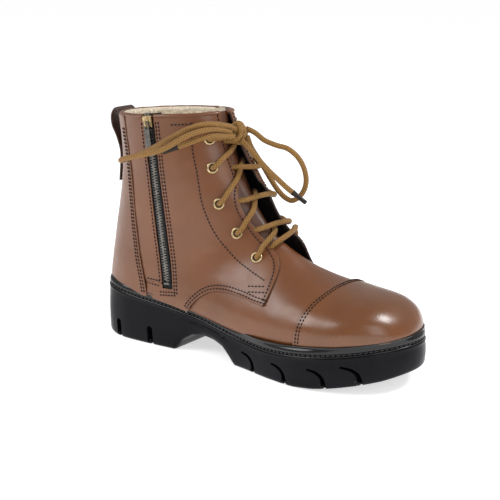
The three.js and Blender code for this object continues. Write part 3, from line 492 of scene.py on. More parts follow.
def spline_bends(rows):
    """Second derivatives of the natural cubic spline through equally spaced rows."""
    n = len(rows)
    system = np.eye(n)
    right = np.zeros_like(rows)
    for i in range(1, n - 1):
        system[i, i - 1:i + 2] = 1, 4, 1
        right[i] = 6 * (rows[i + 1] - 2 * rows[i] + rows[i - 1])
    return np.linalg.solve(system, right)


BENDS = spline_bends(SECTIONS)


def section_at(t):
    """The row of the last at t, on a smooth curve between the given ones."""
    t = np.asarray(t, float)
    i = np.clip(np.floor(t).astype(int), 0, LAST_ROW - 1)
    u = (t - i)[..., None]
    v = 1 - u
    return (
        SECTIONS[i] * v + SECTIONS[i + 1] * u
        + (v ** 3 - v) * BENDS[i] / 6 + (u ** 3 - u) * BENDS[i + 1] / 6
    )


def flare(t, angle):
    """How far the loosened lateral facing stands off the tongue."""
    turned = np.mod(angle, TURN)
    from_front = np.where(turned > math.pi, TURN - turned, TURN)
    around = smooth((1.25 - from_front) / 0.85)
    return 13 * around * smooth((t + 1.2) / 4.4) * smooth((8.2 - t) / 2.2)


def last_point(t, angle, offset=0.0):
    """A point of the last: angle 0 at the front, a quarter turn medial, half a turn at the back."""
    t, angle, offset = np.broadcast_arrays(np.asarray(t, float), angle, offset)
    xb, zb, xf, zf, wm, wl, yc, nf, nb, wide = np.moveaxis(section_at(t), -1, 0)
    chord = np.hypot(xf - xb, zf - zb)
    grow = np.maximum(offset, -0.4 * chord)
    medial = np.sin(angle) > 0
    half = np.where(medial, wm, wl)
    width = np.maximum(half + offset, 0.25 * half)
    cosine, sine = np.cos(angle), np.sin(angle)
    power = 2 / np.where(cosine > 0, nf, nb)
    forward = np.sign(cosine) * np.abs(cosine) ** power
    sideways = np.abs(sine) ** power * np.where(medial, -1, 1)
    reach = np.where(cosine > 0, (1 - wide) * chord, wide * chord) + grow
    along = (wide * chord + forward * reach) / chord
    return np.stack([xb + (xf - xb) * along, yc + sideways * width, zb + (zf - zb) * along], -1)


def surface(t, angle, height=0.0, flared=False):
    """Points and outward normals of the upper, height above the last."""
    base = flare(t, angle) if flared else 0.0
    step = 0.01

    def at(s, a):
        return last_point(s, a, flare(s, a) if flared else 0.0)

    down = at(t + step, angle) - at(t - step, angle)
    around = at(t, angle + step) - at(t, angle - step)
    normal = unit(np.cross(around, down))
    out = last_point(t, angle, base) - last_point(t, angle, -30.0)
    normal = np.where((normal * out).sum(-1, keepdims=True) < 0, -normal, normal)
    return last_point(t, angle, base) + normal * np.asarray(height)[..., None], normal


def on_last(points, lateral=False):
    """Rows and angles of side-view points (x, z); lateral angles are negative."""
    x, z = np.asarray(points, float).T
    low, high = np.full(len(x), float(LAST_ROW)), np.full(len(x), -0.9)

    def miss(t):
        s = section_at(t)
        return (x - s[:, 0]) * (s[:, 3] - s[:, 1]) - (z - s[:, 1]) * (s[:, 2] - s[:, 0])

    above = np.sign(miss(high))
    for _ in range(40):
        middle = (low + high) / 2
        same = np.sign(miss(middle)) == above
        high = np.where(same, middle, high)
        low = np.where(same, low, middle)
    s = section_at(high)
    chord = (s[:, 2] - s[:, 0]) ** 2 + (s[:, 3] - s[:, 1]) ** 2
    along = ((x - s[:, 0]) * (s[:, 2] - s[:, 0]) + (z - s[:, 1]) * (s[:, 3] - s[:, 1])) / chord
    front = along > s[:, 9]
    forward = (along - s[:, 9]) / np.where(front, 1 - s[:, 9], s[:, 9])
    reach = np.minimum(np.abs(forward), 1) ** (np.where(front, s[:, 7], s[:, 8]) / 2)
    angle = np.arccos(np.sign(forward) * reach)
    return np.stack([high, -angle if lateral else angle], 1)


# ------------------------------------------------------------------ side-view lines (x, z)
SOLE_TOP = curve([
    (-152, 47), (-128, 43.5), (-105, 40.5), (-80, 38), (-56, 35), (-35, 31.5), (-15, 27.5), (5, 24.5),
    (25, 23), (50, 23.5), (75, 26), (95, 28.5), (112, 31), (130, 34), (152, 37.5),
], 2)
TREAD = [
    (-152, 4), (-142, 1.5), (-128, 0), (-61, 0), (-54, 10), (-44, 16), (-32, 18), (-20, 16.5),
    (-10, 13), (-3, 7), (4, 0), (70, 0), (88, 1.5), (103, 4), (120, 7.5), (136, 11), (152, 16),
]
BACK_SEAM = [(-114, 187), (-106, 142), (-103, 121), (-99, 96), (-95, 73), (-91, 54), (-87, 20)]
FACING_EDGE = [
    (-21.5, 186), (-17, 163), (-6.5, 129), (9, 110), (23, 98), (31, 91), (35, 85), (37, 76), (36.5, 64),
    (35, 57.5),
]
QUARTER_FOOT = [(35, 57.5), (24, 58.5), (10, 60.5), (-8, 61.5), (-22, 59), (-33, 52), (-42, 42), (-46, 33)]
THROAT = [(22, 112), (22, 89), (2, 76), (-28, 71), (-46, 62), (-49, 15)]
CAP_SEAM = [(81, 75), (79, 71), (76, 66), (72, 55), (70, 44), (68, 24)]
FEATHER_RISE = 4.5
FACING_HALF_GAP = 5.0
CENTRE_Y = -7.0
ZIP_FOOT, ZIP_TOP = np.array([-67.0, 58.0]), np.array([-85.4, 204.1])
ZIP_WAY = unit(ZIP_TOP - ZIP_FOOT)
ZIP_ACROSS = np.array([ZIP_WAY[1], -ZIP_WAY[0]])
ZIP_WINDOW = 5.5


def sole_top(x):
    return np.interp(x, SOLE_TOP[:, 0], SOLE_TOP[:, 1])


def tread(x):
    return np.interp(x, *zip(*TREAD))


def zip_side(u, v):
    return ZIP_FOOT + ZIP_WAY * u + ZIP_ACROSS * v


def feather_points(rise):
    """Where the upper meets the sole: rows and angles from the back (half a turn) to the toe."""
    x = np.linspace(-144, 146.5, 150)
    rows = on_last(np.stack([x, sole_top(x) + rise], 1))
    rows = rows[(rows[:, 1] > 0.05) & (rows[:, 1] < math.pi - 0.05)]
    ends = []
    for angle, start, stop in ((math.pi, 3.0, 5.2), (0.0, 13.0, 16.6)):
        t = np.linspace(start, stop, 400)
        point = last_point(t, angle)
        ends.append((t[np.argmin(np.abs(point[:, 2] - sole_top(point[:, 0]) - rise))], angle))
    return np.vstack([ends[0], rows, ends[1]])


FEATHER = feather_points(FEATHER_RISE)


def feather_between(x_start, x_stop):
    """The part of the feather line between two places along the boot."""
    x = last_point(FEATHER[:, 0], FEATHER[:, 1])[:, 0]
    low, high = sorted((x_start, x_stop))
    part = FEATHER[(x > low + 1) & (x < high - 1)]
    return part if x_start < x_stop else part[::-1]


def under_collar(points):
    """The side-view points below the collar's line."""
    back_x, back_z, front_x, front_z = SECTIONS[0, :4]
    collar = back_z + (front_z - back_z) * (points[:, 0] - back_x) / (front_x - back_x)
    return points[points[:, 1] < collar]


def clipped(points, top=False):
    """A side-view line cut where it passes under the feather line or over the collar."""
    points = curve(points, 1.5)
    points = points[points[:, 1] > sole_top(points[:, 0]) + FEATHER_RISE]
    return under_collar(points) if top else points


def gap_angle(t):
    """The angle of the facing's edge where it runs beside the middle of the tongue."""
    s = section_at(t)
    return np.arcsin((FACING_HALF_GAP / s[..., 4]) ** (s[..., 7] / 2))


def mirrored(rows):
    return rows * (1, -1)


def facing_line():
    """The front edge of a quarter from the collar to its lower corner, in rows and angles."""
    rows = on_last(curve(FACING_EDGE, 2.0))
    top = np.stack([np.linspace(0, rows[0, 0], 16)[:-1], np.zeros(15)], 1)
    rows = np.vstack([top, rows])
    rows[:, 1] = np.maximum(rows[:, 1], gap_angle(rows[:, 0]))
    return rows


FACING = facing_line()


# ------------------------------------------------------------------ leather panels
# Sizes of a row and of a radian, for meshing; the heights of the panels' outer faces over the last.
ROW_SIZE, ANGLE_SIZE = 18.0, 34.0
QUARTER_FACE, REAR_FACE, HEEL_FACE = 0.9, 1.2, 2.0
VAMP_FACE, CAP_FACE = -0.7, 0.9
LEATHER, VAMP_LEATHER = 1.8, 1.6
RIM_STEP, GRID_STEP, GRID_CLEARANCE = 1.8, 2.4, 1.7
TUCK_DEPTH, TUCK_REACH = 1.3, 5.0


def inside(points, outline):
    """Which flat points lie inside the closed outline."""
    x, y = points.T[:, :, None]
    ax, ay = outline.T[:, None, :]
    bx, by = np.roll(outline, -1, 0).T[:, None, :]
    with np.errstate(divide="ignore", invalid="ignore"):
        crosses = ((ay > y) != (by > y)) & (x < (bx - ax) * (y - ay) / (by - ay) + ax)
    return crosses.sum(1) % 2 == 1


def filled(rim, grid, clearance):
    """Points and triangles of a flat face: its rim, and the grid's points inside it that keep clear of the
    rim; clearance is that distance squared."""
    grid = grid[inside(grid, rim)]
    clear = [np.min(((rim - p) ** 2).sum(1)) > clearance for p in grid]
    flat = np.vstack([rim, grid[clear]])
    made = delaunay_2d_cdt([Vector(p) for p in flat], [], [list(range(len(rim)))], 1, 1e-6)
    return np.array([tuple(p) for p in made[0]]), [list(f) for f in made[2]]


def tucked(at):
    """How a panel's foot bends in behind the welt, as heights."""
    points = last_point(at[:, 0], at[:, 1])
    rise = points[:, 2] - sole_top(points[:, 0]) - FEATHER_RISE
    return -TUCK_DEPTH * smooth(1 - rise / TUCK_REACH)


def panel(name, outline, material, height, relief, thickness=LEATHER, flared=False, inner=None):
    """A sheet of leather on the last. The outline is in rows and angles, and height is its outer face."""
    scale = np.array([ROW_SIZE, ANGLE_SIZE])
    rim = resampled(np.vstack([outline, outline[:1]]) * scale, RIM_STEP)[:-1]
    low, high = rim.min(0), rim.max(0)
    grid = np.array([
        (x + (GRID_STEP / 2 if j % 2 else 0), y)
        for j, y in enumerate(np.arange(low[1], high[1], GRID_STEP * 0.866))
        for x in np.arange(low[0], high[0], GRID_STEP)
    ])
    flat, faces = filled(rim, grid, GRID_CLEARANCE)
    at = flat / scale
    points, normals = surface(at[:, 0], at[:, 1], height + relief(at), flared)
    a, b, c = (points[[f[k] for f in faces]] for k in range(3))
    facing = (np.cross(b - a, c - a) * normals[[f[0] for f in faces]]).sum(1)
    faces = [f if s > 0 else f[::-1] for f, s in zip(faces, facing)]
    obj = mesh_object(name, points, faces, material)
    obj.data.materials.append(EDGE_BROWN)
    if inner:
        obj.data.materials.append(inner)
    solid = thickened(obj, thickness)
    solid.material_offset_rim = 1
    solid.material_offset = 2 if inner else 0
    return bevelled(obj, 0.5, 3, 50)


def creases(at, amount, seed):
    """Soft unevenness of pulled leather, as heights."""
    points = last_point(at[:, 0], at[:, 1])
    return amount * (wobble(points, 34, seed) + 0.5 * wobble(points * (1, 1, 1.8), 13, seed + 3))


def near_line(at, line, reach):
    """1 on a line of rows and angles, falling to 0 at reach millimetres."""
    tree = kdtree.KDTree(len(line))
    for i, p in enumerate(last_point(line[:, 0], line[:, 1])):
        tree.insert(p, i)
    tree.balance()
    far = np.array([tree.find(p)[2] for p in last_point(at[:, 0], at[:, 1])])
    return np.clip(1 - far / reach, 0, 1)


def collar_rows(start, stop, count=30):
    return np.stack([np.full(count, 0.0), np.linspace(start, stop, count)], 1)[1:-1]


BACK_LINE = clipped([(-116, 203), *BACK_SEAM], top=True)
FOOT_LINE = clipped(QUARTER_FOOT)
REAR_PANEL_FOOT = 57.5


def zip_edge(v):
    """An edge of the zip's window, from its foot to the collar."""
    return under_collar(np.array([zip_side(u, v) for u in np.linspace(-4, 146, 60)]))


ZIP_REAR, ZIP_FRONT = zip_edge(-ZIP_WINDOW), zip_edge(ZIP_WINDOW)


def quarter_relief(at):
    height = last_point(at[:, 0], at[:, 1])[:, 2]
    seam = near_line(at, on_last(shifted(BACK_LINE, 3)), 6) ** 2
    return creases(at, 0.45, 1.0) - 0.5 * seam + 0.7 * smooth((54 - height) / 8)


def rear_relief(at):
    return creases(at, 0.35, 2.0)


def heel_relief(at):
    points = last_point(at[:, 0], at[:, 1])
    return creases(at, 0.35, 5.0) + 0.6 * smooth((90 - points[:, 2]) / 20)


def lateral_relief(at):
    return creases(at, 0.5, 7.0)


def cap_relief(at):
    return creases(at, 0.25, 6.0) + tucked(at)


def add_quarter_medial():
    foot = on_last(FOOT_LINE)
    back = on_last(BACK_LINE[BACK_LINE[:, 1] < REAR_PANEL_FOOT + 2.5][::-1])
    zip_foot = on_last(ZIP_REAR[ZIP_REAR[:, 1] < REAR_PANEL_FOOT + 1][::-1])
    zip_up = on_last(ZIP_FRONT)
    outline = np.vstack([
        FACING, foot[1:], feather_between(-46, -90), back, zip_foot, zip_up,
        collar_rows(zip_up[-1, 1], FACING[0, 1]),
    ])
    obj = panel("quarter_medial_leather", outline, BROWN, QUARTER_FACE, quarter_relief)
    piece(obj, "brown_leather", "quarter_medial")


def add_rear_panel():
    rear = on_last(BACK_LINE[BACK_LINE[:, 1] > REAR_PANEL_FOOT])
    zip_down = on_last(ZIP_REAR[::-1])
    zip_down = zip_down[last_point(zip_down[:, 0], zip_down[:, 1])[:, 2] > REAR_PANEL_FOOT]
    outline = np.vstack([rear[::-1], collar_rows(rear[0, 1], zip_down[0, 1], 12), zip_down])
    obj = panel("rear_panel_leather", outline, BROWN, REAR_FACE, rear_relief)
    piece(obj, "brown_leather", "rear_panel_medial")


def add_heel_panel():
    seam = on_last(BACK_LINE)
    other = seam * (1, -1) + (0, TURN)
    low = feather_between(-90, -160)
    around = np.vstack([low, (low * (1, -1) + (0, TURN))[::-1]])
    outline = np.vstack([seam, around, other[::-1], collar_rows(other[0, 1], seam[0, 1], 40)])
    obj = panel("heel_panel_leather", outline, BROWN, HEEL_FACE, heel_relief)
    piece(obj, "brown_leather", "heel_panel")


def add_quarter_lateral():
    front = mirrored(FACING)
    foot = on_last(FOOT_LINE, True)
    back = on_last(BACK_LINE, True)
    low = mirrored(feather_between(-46, -90))
    outline = np.vstack([front, foot[1:], low, back[::-1], collar_rows(back[0, 1], front[0, 1], 60)])
    obj = panel(
        "quarter_lateral_leather", outline, BROWN, QUARTER_FACE, lateral_relief, flared=True,
        inner=LINING_BROWN,
    )
    piece(obj, "brown_leather", "quarter_lateral")


def vamp_relief(at):
    """Creases, and the folds where the foot bends."""
    points = last_point(at[:, 0], at[:, 1])
    bend = smooth(1 - np.abs(points[:, 0] - 56) / 30)
    ripple = np.sin(points[:, 0] / 4.4 + 1.5 * wobble(points, 30, 9))
    top_part = smooth((points[:, 2] - 52) / 20)
    return creases(at, 0.4, 4.0) + 0.22 * bend * ripple * top_part + tucked(at)


def add_vamp():
    front = on_last(clipped(np.asarray(CAP_SEAM) + (6, 0)))
    rear = on_last(clipped(THROAT))
    top = np.array([(front[0, 0], 0.0)])
    outline = np.vstack([
        front[::-1], top, mirrored(front), mirrored(feather_between(76, -48)), mirrored(rear)[::-1],
        rear, feather_between(-48, 76),
    ])
    obj = panel("vamp_leather", outline, BROWN, VAMP_FACE, vamp_relief, VAMP_LEATHER)
    piece(obj, "brown_leather", "vamp")


def add_toe_cap():
    seam = on_last(clipped(CAP_SEAM))
    low = feather_between(70, 160)
    outline = np.vstack([
        seam[::-1], [(seam[0, 0] + 0.05, 0.0)], mirrored(seam), mirrored(low), low[::-1][1:],
    ])
    obj = panel("toe_cap_leather", outline, CAP_BROWN, CAP_FACE, cap_relief)
    piece(obj, "brown_leather", "toe_cap")


def sheet_grid(rows, angles):
    """Every row with every angle, as two flat lists."""
    return (grid.ravel() for grid in np.meshgrid(rows, angles, indexing="ij"))


def add_tongue():
    rows, columns = 70, 60
    t, angle = sheet_grid(np.linspace(-0.03, 8.8, rows), np.linspace(-1.1, 1.1, columns))
    middle = np.cos(angle * 1.4)
    at = np.stack([t, angle], 1)
    height = -2.4 + 1.6 * middle * smooth((8.0 - t) / 2) + creases(at, 0.8, 12.0)
    points, _ = surface(t, angle, height)
    obj = mesh_object("tongue_leather", points, row_faces(rows, columns, around=False), TONGUE_SHADED_BROWN)
    thickened(obj, 1.6)
    bevelled(obj, 0.5, 2, 50)
    piece(obj, "brown_leather", "tongue")


add_quarter_medial()
add_rear_panel()
add_heel_panel()
add_quarter_lateral()
add_vamp()
add_toe_cap()
add_tongue()


# ------------------------------------------------------------------ sole and welt
SOLE_OUTLINE = [
    (-152.5, -7), (-149, -25), (-139, -38), (-122, -44), (-97, -45), (-60, -43), (-30, -41), (10, -46),
    (45, -54), (75, -57), (103, -52), (127, -40), (145, -21), (152.5, 1), (148, 20), (132, 39),
    (100, 52.5), (60, 57), (20, 54), (-20, 47), (-60, 40), (-97, 35), (-122, 32.5), (-140, 24),
    (-150, 10),
]
OUTLINE = curve(SOLE_OUTLINE, 2.4, closed=True)[:-1]
OUTLINE_WAY = unit(np.roll(OUTLINE, -1, 0) - np.roll(OUTLINE, 1, 0))
INWARD = np.stack([-OUTLINE_WAY[:, 1], OUTLINE_WAY[:, 0]], 1)
# The z at which cutters start, and how far a lid's inner points keep from its rim, squared.
BELOW = -20
LID_CLEARANCE = 2.0
HEEL_NOTCHES = (-123, -86)
FOREFOOT_NOTCHES = (27, 62, 97, 123)


def edge_at(x, hand):
    """The y of the sole's edge beside x; hand is 1 for the lateral side and -1 for the medial one."""
    side = OUTLINE[OUTLINE[:, 1] * hand > 0]
    return side[np.argmin(np.abs(side[:, 0] - x)), 1]


def over_sole(rise):
    return lambda x: sole_top(x) + rise


def over_tread(rise):
    return lambda x: tread(x) + rise


def part_way_up(share):
    return lambda x: tread(x) + (sole_top(x) - tread(x)) * share


def around_sole(profile):
    """Rings around the outline; each profile entry gives insets and heights for every outline point."""
    rings = []
    for inset, z in profile:
        at = OUTLINE + INWARD * np.broadcast_to(inset, len(OUTLINE))[:, None]
        rings.append(np.column_stack([at, np.broadcast_to(z(at[:, 0]), len(at))]))
    return rings


def lid(ring, height, pitch, upwards):
    """A face that fills a ring, with a grid of points at the height's values."""
    rim = ring[:, :2]
    low, high = rim.min(0), rim.max(0)
    grid = np.array([
        (x, y) for x in np.arange(low[0], high[0], pitch) for y in np.arange(low[1], high[1], pitch * 2)
    ])
    at, faces = filled(rim, grid, LID_CLEARANCE)
    return np.column_stack([at, height(at[:, 0])]), faces if upwards else [f[::-1] for f in faces]


def prism(outline, low, high):
    """A closed block with a side-view outline between two y values."""
    n = len(outline)
    verts = [(x, y, z) for y in (low, high) for x, z in outline]
    faces = [tuple(range(n)), tuple(range(n, 2 * n))[::-1]]
    faces += [(i, i + n, (i + 1) % n + n, (i + 1) % n) for i in range(n)]
    return np.array(verts, float), faces


def slot_outline(x, width, bottom, top, lean=0.0):
    """A slot with a round top, leaning towards the toe."""
    turn = np.linspace(0, math.pi, 9)
    crown = [(x + lean + width / 2 * math.cos(a), top - width / 2 + width / 2 * math.sin(a)) for a in turn]
    return [(x - width / 2, bottom), (x + width / 2, bottom)] + crown


def hook_outline(x, ground):
    """A slot that rises from the ground and bends back towards the heel, narrowing to its end."""
    middle = curve([
        (x + 0.6, BELOW), (x + 0.6, ground + 6), (x - 1.2, ground + 10.5), (x - 5.5, ground + 13.5),
        (x - 13, ground + 15),
    ], 1.5)
    half = np.interp(np.linspace(0, 1, len(middle)), (0, 0.55, 1), (3.2, 2.0, 0.8))
    way = unit(np.gradient(middle, axis=0))
    across = np.stack([-way[:, 1], way[:, 0]], 1) * half[:, None]
    return [tuple(p) for p in np.vstack([middle - across, (middle + across)[::-1]])]


def tread_cutters():
    """Blocks to cut away: cross grooves, slots in the sole's wall, and grooves along the middle."""
    parts = []
    for x in HEEL_NOTCHES + FOREFOOT_NOTCHES:
        ground = float(tread(x))
        parts.append(prism(slot_outline(x, 5, BELOW, ground + 5), -90, 90))
        for hand in (-1, 1):
            edge = edge_at(x, hand)
            span = sorted((edge - hand * 8.5, edge + hand * 30))
            heel = x in HEEL_NOTCHES
            outline = slot_outline(x, 6, BELOW, ground + 17, -1.5) if heel else hook_outline(x, ground)
            parts.append(prism(outline, *span))
    for low, high in ((-140, -66), (10, 138)):
        xs = np.linspace(low, high, 24)
        outline = [(x, BELOW) for x in xs] + [(x, float(tread(x)) + 5) for x in xs[::-1]]
        parts.append(prism(outline, -5.5, -0.5))
    for x in (-105, 44.5, 79.5):
        outline = slot_outline(x, 4, BELOW, float(tread(x)) + 4)
        parts.append(prism(outline, -26, 20))
    return joined(parts)


def add_outsole():
    rings = around_sole([
        (2.2, over_sole(0.1)), (1.1, over_sole(0)), (0.4, over_sole(-0.3)), (0.05, over_sole(-1.0)),
        (0.35, over_sole(-2.2)), (0.45, over_sole(-3.4)), (0.0, part_way_up(0.72)),
        (-0.3, part_way_up(0.5)), (-0.1, part_way_up(0.3)), (0.2, over_tread(3.2)),
        (0.7, over_tread(1.4)), (1.6, over_tread(0.4)), (3.0, over_tread(0)),
    ])
    wall = np.vstack(rings), flipped(row_faces(len(rings), len(OUTLINE)))
    verts, faces = joined([
        wall, lid(rings[0], over_sole(-0.1), 5, True), lid(rings[-1], tread, 2.5, False),
    ])
    obj = mesh_object("outsole_rubber", verts, faces, SOLE)
    cutter = mesh_object("tread_cutter", *tread_cutters(), SOLE)
    weld = obj.modifiers.new("weld", "WELD")
    weld.merge_threshold = 0.05 * MM
    cut = obj.modifiers.new("cut", "BOOLEAN")
    cut.object = cutter
    cut.operation = "DIFFERENCE"
    cut.solver = "EXACT"
    cut.use_self = True
    evaluated = obj.evaluated_get(bpy.context.evaluated_depsgraph_get())
    mesh = bpy.data.meshes.new_from_object(evaluated)
    obj.modifiers.clear()
    obj.data = mesh
    bpy.data.objects.remove(cutter)
    mesh.polygons.foreach_set("use_smooth", [True] * len(mesh.polygons))
    mesh.set_sharp_from_angle(angle=math.radians(38))
    piece(obj, "sole_rubber", "outsole")


def add_tread_ribs():
    """Thin ribs that stand in the slots of the sole's wall."""
    ribs = []
    for x in FOREFOOT_NOTCHES + HEEL_NOTCHES[1:]:
        ground = float(tread(x))
        for hand in (-1, 1):
            edge = edge_at(x, hand)
            span = sorted((edge - hand * 8.6, edge - hand * 4.2))
            ribs.append(prism(slot_outline(x + 0.4, 1.5, ground + 1, ground + 8.5), *span))
    piece(mesh_object("tread_ribs", *joined(ribs), SOLE, sharp=40), "sole_rubber")


def upper_inset():
    """How far the upper's leather lies inside the sole's outline, all the way round."""
    rows = feather_points(7.5)
    ring = np.vstack([last_point(*rows.T, 0.9), last_point(rows[:, 0], -rows[:, 1], 0.9)])[:, :2]
    ring = np.vstack([resampled(part, 1.5) for part in np.split(ring, 2)])
    far = np.array([np.sqrt(((ring - p) ** 2).sum(1).min()) for p in OUTLINE])
    kernel = np.ones(7) / 7
    return np.convolve(np.r_[far[-3:], far, far[:3]], kernel, "valid")


UPPER_INSET = upper_inset()


def add_welt():
    """The glossy strip from the leather, over the sole's edge and back under itself."""
    reach = UPPER_INSET
    shape = [
        (reach + 6, 6.5), (reach + 0.4, 8.2), (reach - 0.9, 8.6), (reach * 0.84 - 0.9, 8.1),
        (reach * 0.62, 7.4), (reach * 0.36 + 0.3, 6.7), (reach * 0.14 + 0.5, 5.5),
        (0.55 + reach * 0.02, 4.4), (0.6, 3.5), (1.1, 2.8), (2.2, 2.4), (2.9, 2.0), (2.8, 1.5),
        (1.8, 1.1), (0.9, 0.9), (0.45, 0.5), (0.6, -0.1), (reach + 6, -0.1),
    ]
    rings = around_sole([(inset, over_sole(height)) for inset, height in shape])
    faces = flipped(row_faces(len(rings), len(OUTLINE), closed=True))
    obj = mesh_object("welt_strip", np.vstack(rings), faces, WELT)
    piece(obj, "welt_rubber", "welt")


# ------------------------------------------------------------------ stitches
def stitch_shape(length, radius):
    """One stitch: a rounded thread that dips into the leather at both ends."""
    along = np.array([-0.5, -0.44, -0.25, 0.0, 0.25, 0.44, 0.5]) * length
    size = np.array([0.35, 0.8, 1.0, 1.0, 1.0, 0.8, 0.35]) * radius
    lift = np.array([-0.9, -0.25, 0.12, 0.25, 0.12, -0.25, -0.9]) * radius
    turn = np.linspace(0, TURN, 6, endpoint=False)
    verts = [
        (a, s * math.cos(q), l + s * math.sin(q)) for a, s, l in zip(along, size, lift) for q in turn
    ]
    return np.array(verts), capped_faces(len(along), len(turn))


def stitched(name, runs, material, slot, pitch=3.1, length=2.3, radius=0.6):
    """runs are (points, normals) polylines that the stitches follow."""
    shape, shape_faces = stitch_shape(length, radius)
    parts = []
    for points, normals in runs:
        both = resampled(np.hstack([points, normals * 0.001]), pitch)
        at, normal = both[:, :3], unit(both[:, 3:])
        way = unit(np.gradient(at, axis=0))
        side = unit(np.cross(normal, way))
        for p, w, s, n in zip(at, way, side, normal):
            parts.append((p + shape @ np.stack([w, s, n]), shape_faces))
    return piece(mesh_object(name, *joined(parts), material), slot)


def along_surface(rows, height, relief, flared=False):
    return surface(rows[:, 0], rows[:, 1], height + relief(rows), flared)


def seam(points, height, relief, lateral=False, curved=True):
    """A stitch run on the upper along a side-view line."""
    line = curve(points, 1.5) if curved else resampled(points, 1.5)
    line = line[line[:, 1] > sole_top(line[:, 0]) + 8.5]
    return along_surface(on_last(line, lateral), height, relief, lateral)


FACING_REAR = [(-47, 197), (-45, 176), (-40, 156), (-34, 129), (-22, 105), (-5, 89), (10, 81.5), (27, 75.5)]
FOOT_STITCH = QUARTER_FOOT[::-1]
CORNER_BARS = [[(16, 69.5), (29, 71)], [(18, 65.5), (31, 67)]]
REAR_BARS = [[(-90, 56.3), (-77, 55.6)], [(-62, 195.5), (-35, 197)]]
THREAD_LIFT = 0.05
FACING_SETBACK, FACING_RADIUS = 2.6, 30.0
EDGE_ROWS, SEAM_ROWS = (2.0, 4.6), (2.2, 4.8)


def quarter_run(points, lateral=False, curved=False):
    relief = lateral_relief if lateral else quarter_relief
    return seam(points, QUARTER_FACE + THREAD_LIFT, relief, lateral, curved)


def facing_run(lateral=False):
    rows = FACING + (0, FACING_SETBACK / FACING_RADIUS)
    rows = rows[rows[:, 0] > 0.06][:-4]
    rows = mirrored(rows) if lateral else rows
    relief = lateral_relief if lateral else quarter_relief
    return along_surface(rows, QUARTER_FACE + THREAD_LIFT, relief, lateral)


def both_quarter_runs(lateral):
    """The runs that both quarters have: at the facing's two edges and along the foot."""
    runs = [facing_run(lateral), quarter_run(FACING_REAR, lateral, True)]
    return runs + [quarter_run(shifted(FOOT_STITCH, d), lateral, True) for d in EDGE_ROWS]


def cap_run(step):
    """A run over the toe cap's seam, from one side of the boot to the other."""
    rows = on_last(clipped(np.asarray(CAP_SEAM) + (step, 0)))
    rows = np.vstack([rows[::-1], [(rows[0, 0] + 0.05, 0.0)], mirrored(rows)])
    point = last_point(rows[:, 0], rows[:, 1])
    rows = rows[point[:, 2] > sole_top(point[:, 0]) + 8]
    dense = resampled(rows * (ROW_SIZE, ANGLE_SIZE), 1.0) / (ROW_SIZE, ANGLE_SIZE)
    return along_surface(dense, CAP_FACE + THREAD_LIFT, cap_relief)


def add_leather_stitches():
    medial = both_quarter_runs(False) + [quarter_run(bar) for bar in CORNER_BARS]
    medial += [quarter_run([zip_side(u, ZIP_WINDOW + d) for u in (-7, 60, 138)]) for d in EDGE_ROWS]
    medial += [quarter_run([zip_side(u, v) for v in (-8, 7.5)]) for u in (-6.5, -9.2)]
    medial += [quarter_run(bar) for bar in REAR_BARS]
    beside_zip = [zip_side(u, -ZIP_WINDOW - EDGE_ROWS[0]) for u in (4, 60, 138)]
    rear = [
        seam(line, REAR_FACE + THREAD_LIFT, rear_relief, curved=False)
        for line in (beside_zip, [(-88, 60.4), (-76, 60.0)])
    ]
    heel = [
        seam(np.array(BACK_SEAM) + (-step, 0), HEEL_FACE + 2 * THREAD_LIFT, heel_relief, lateral)
        for lateral in (False, True) for step in SEAM_ROWS
    ]
    lateral = both_quarter_runs(True) + [quarter_run([(-100, 194.5), (-35, 197)], True)]
    for name, runs in (
        ("quarter_stitches", medial), ("rear_panel_stitches", rear), ("heel_panel_stitches", heel),
        ("lateral_quarter_stitches", lateral), ("toe_cap_stitches", [cap_run(step) for step in SEAM_ROWS]),
    ):
        stitched(name, runs, THREAD, "dark_leather")


def add_welt_stitches():
    groove = np.column_stack([OUTLINE + INWARD * 2.0, sole_top(OUTLINE[:, 0]) + 1.75])
    groove = np.vstack([groove, groove[:1]])
    out = -np.vstack([INWARD, INWARD[:1]])
    normals = unit(np.column_stack([out, np.full(len(out), 0.25)]))
    stitched("welt_stitches", [(groove, normals)], WELT_THREAD, "welt_rubber", 4.2, 3.4, 0.75)


add_outsole()
add_tread_ribs()
add_welt()
add_leather_stitches()
add_welt_stitches()


# ------------------------------------------------------------------ collar, lining and pull loop
def add_collar_binding():
    """A folded strip over the top edge, open at the throat and at the zip."""
    zip_rear, zip_front = on_last([zip_side(141, -ZIP_WINDOW), zip_side(141, ZIP_WINDOW)])[:, 1]
    start = float(gap_angle(0.0))
    spans = ((start, zip_front - 0.01), (zip_rear + 0.01, TURN - start))
    parts = []
    turn = np.linspace(0, TURN, 14, endpoint=False)
    for low, high in spans:
        angle = np.linspace(low, high, max(12, int((high - low) * 40)))
        points, normals = surface(np.zeros_like(angle), angle, np.full_like(angle, -0.9), True)
        flat = unit(normals * (1, 1, 0))
        verts = points[:, None] + flat[:, None] * (2.5 * np.cos(turn))[:, None]
        verts[..., 2] += 1.75 * np.sin(turn) - 0.35 + 0.25 * wobble(points, 9, 2.0)[:, None]
        parts.append((verts.reshape(-1, 3), capped_faces(len(angle), len(turn))))
    piece(mesh_object("collar_edge_binding", *joined(parts), BROWN), "dark_leather", "collar_binding")


def pile(points, amount):
    """Short curly pile of a fleece, as heights."""
    curls = ((0.6, 4.2, 1), (0.5, 2.0, 6), (0.3, 9, 4))
    return amount * sum(share * wobble(points, scale, seed) for share, scale, seed in curls)


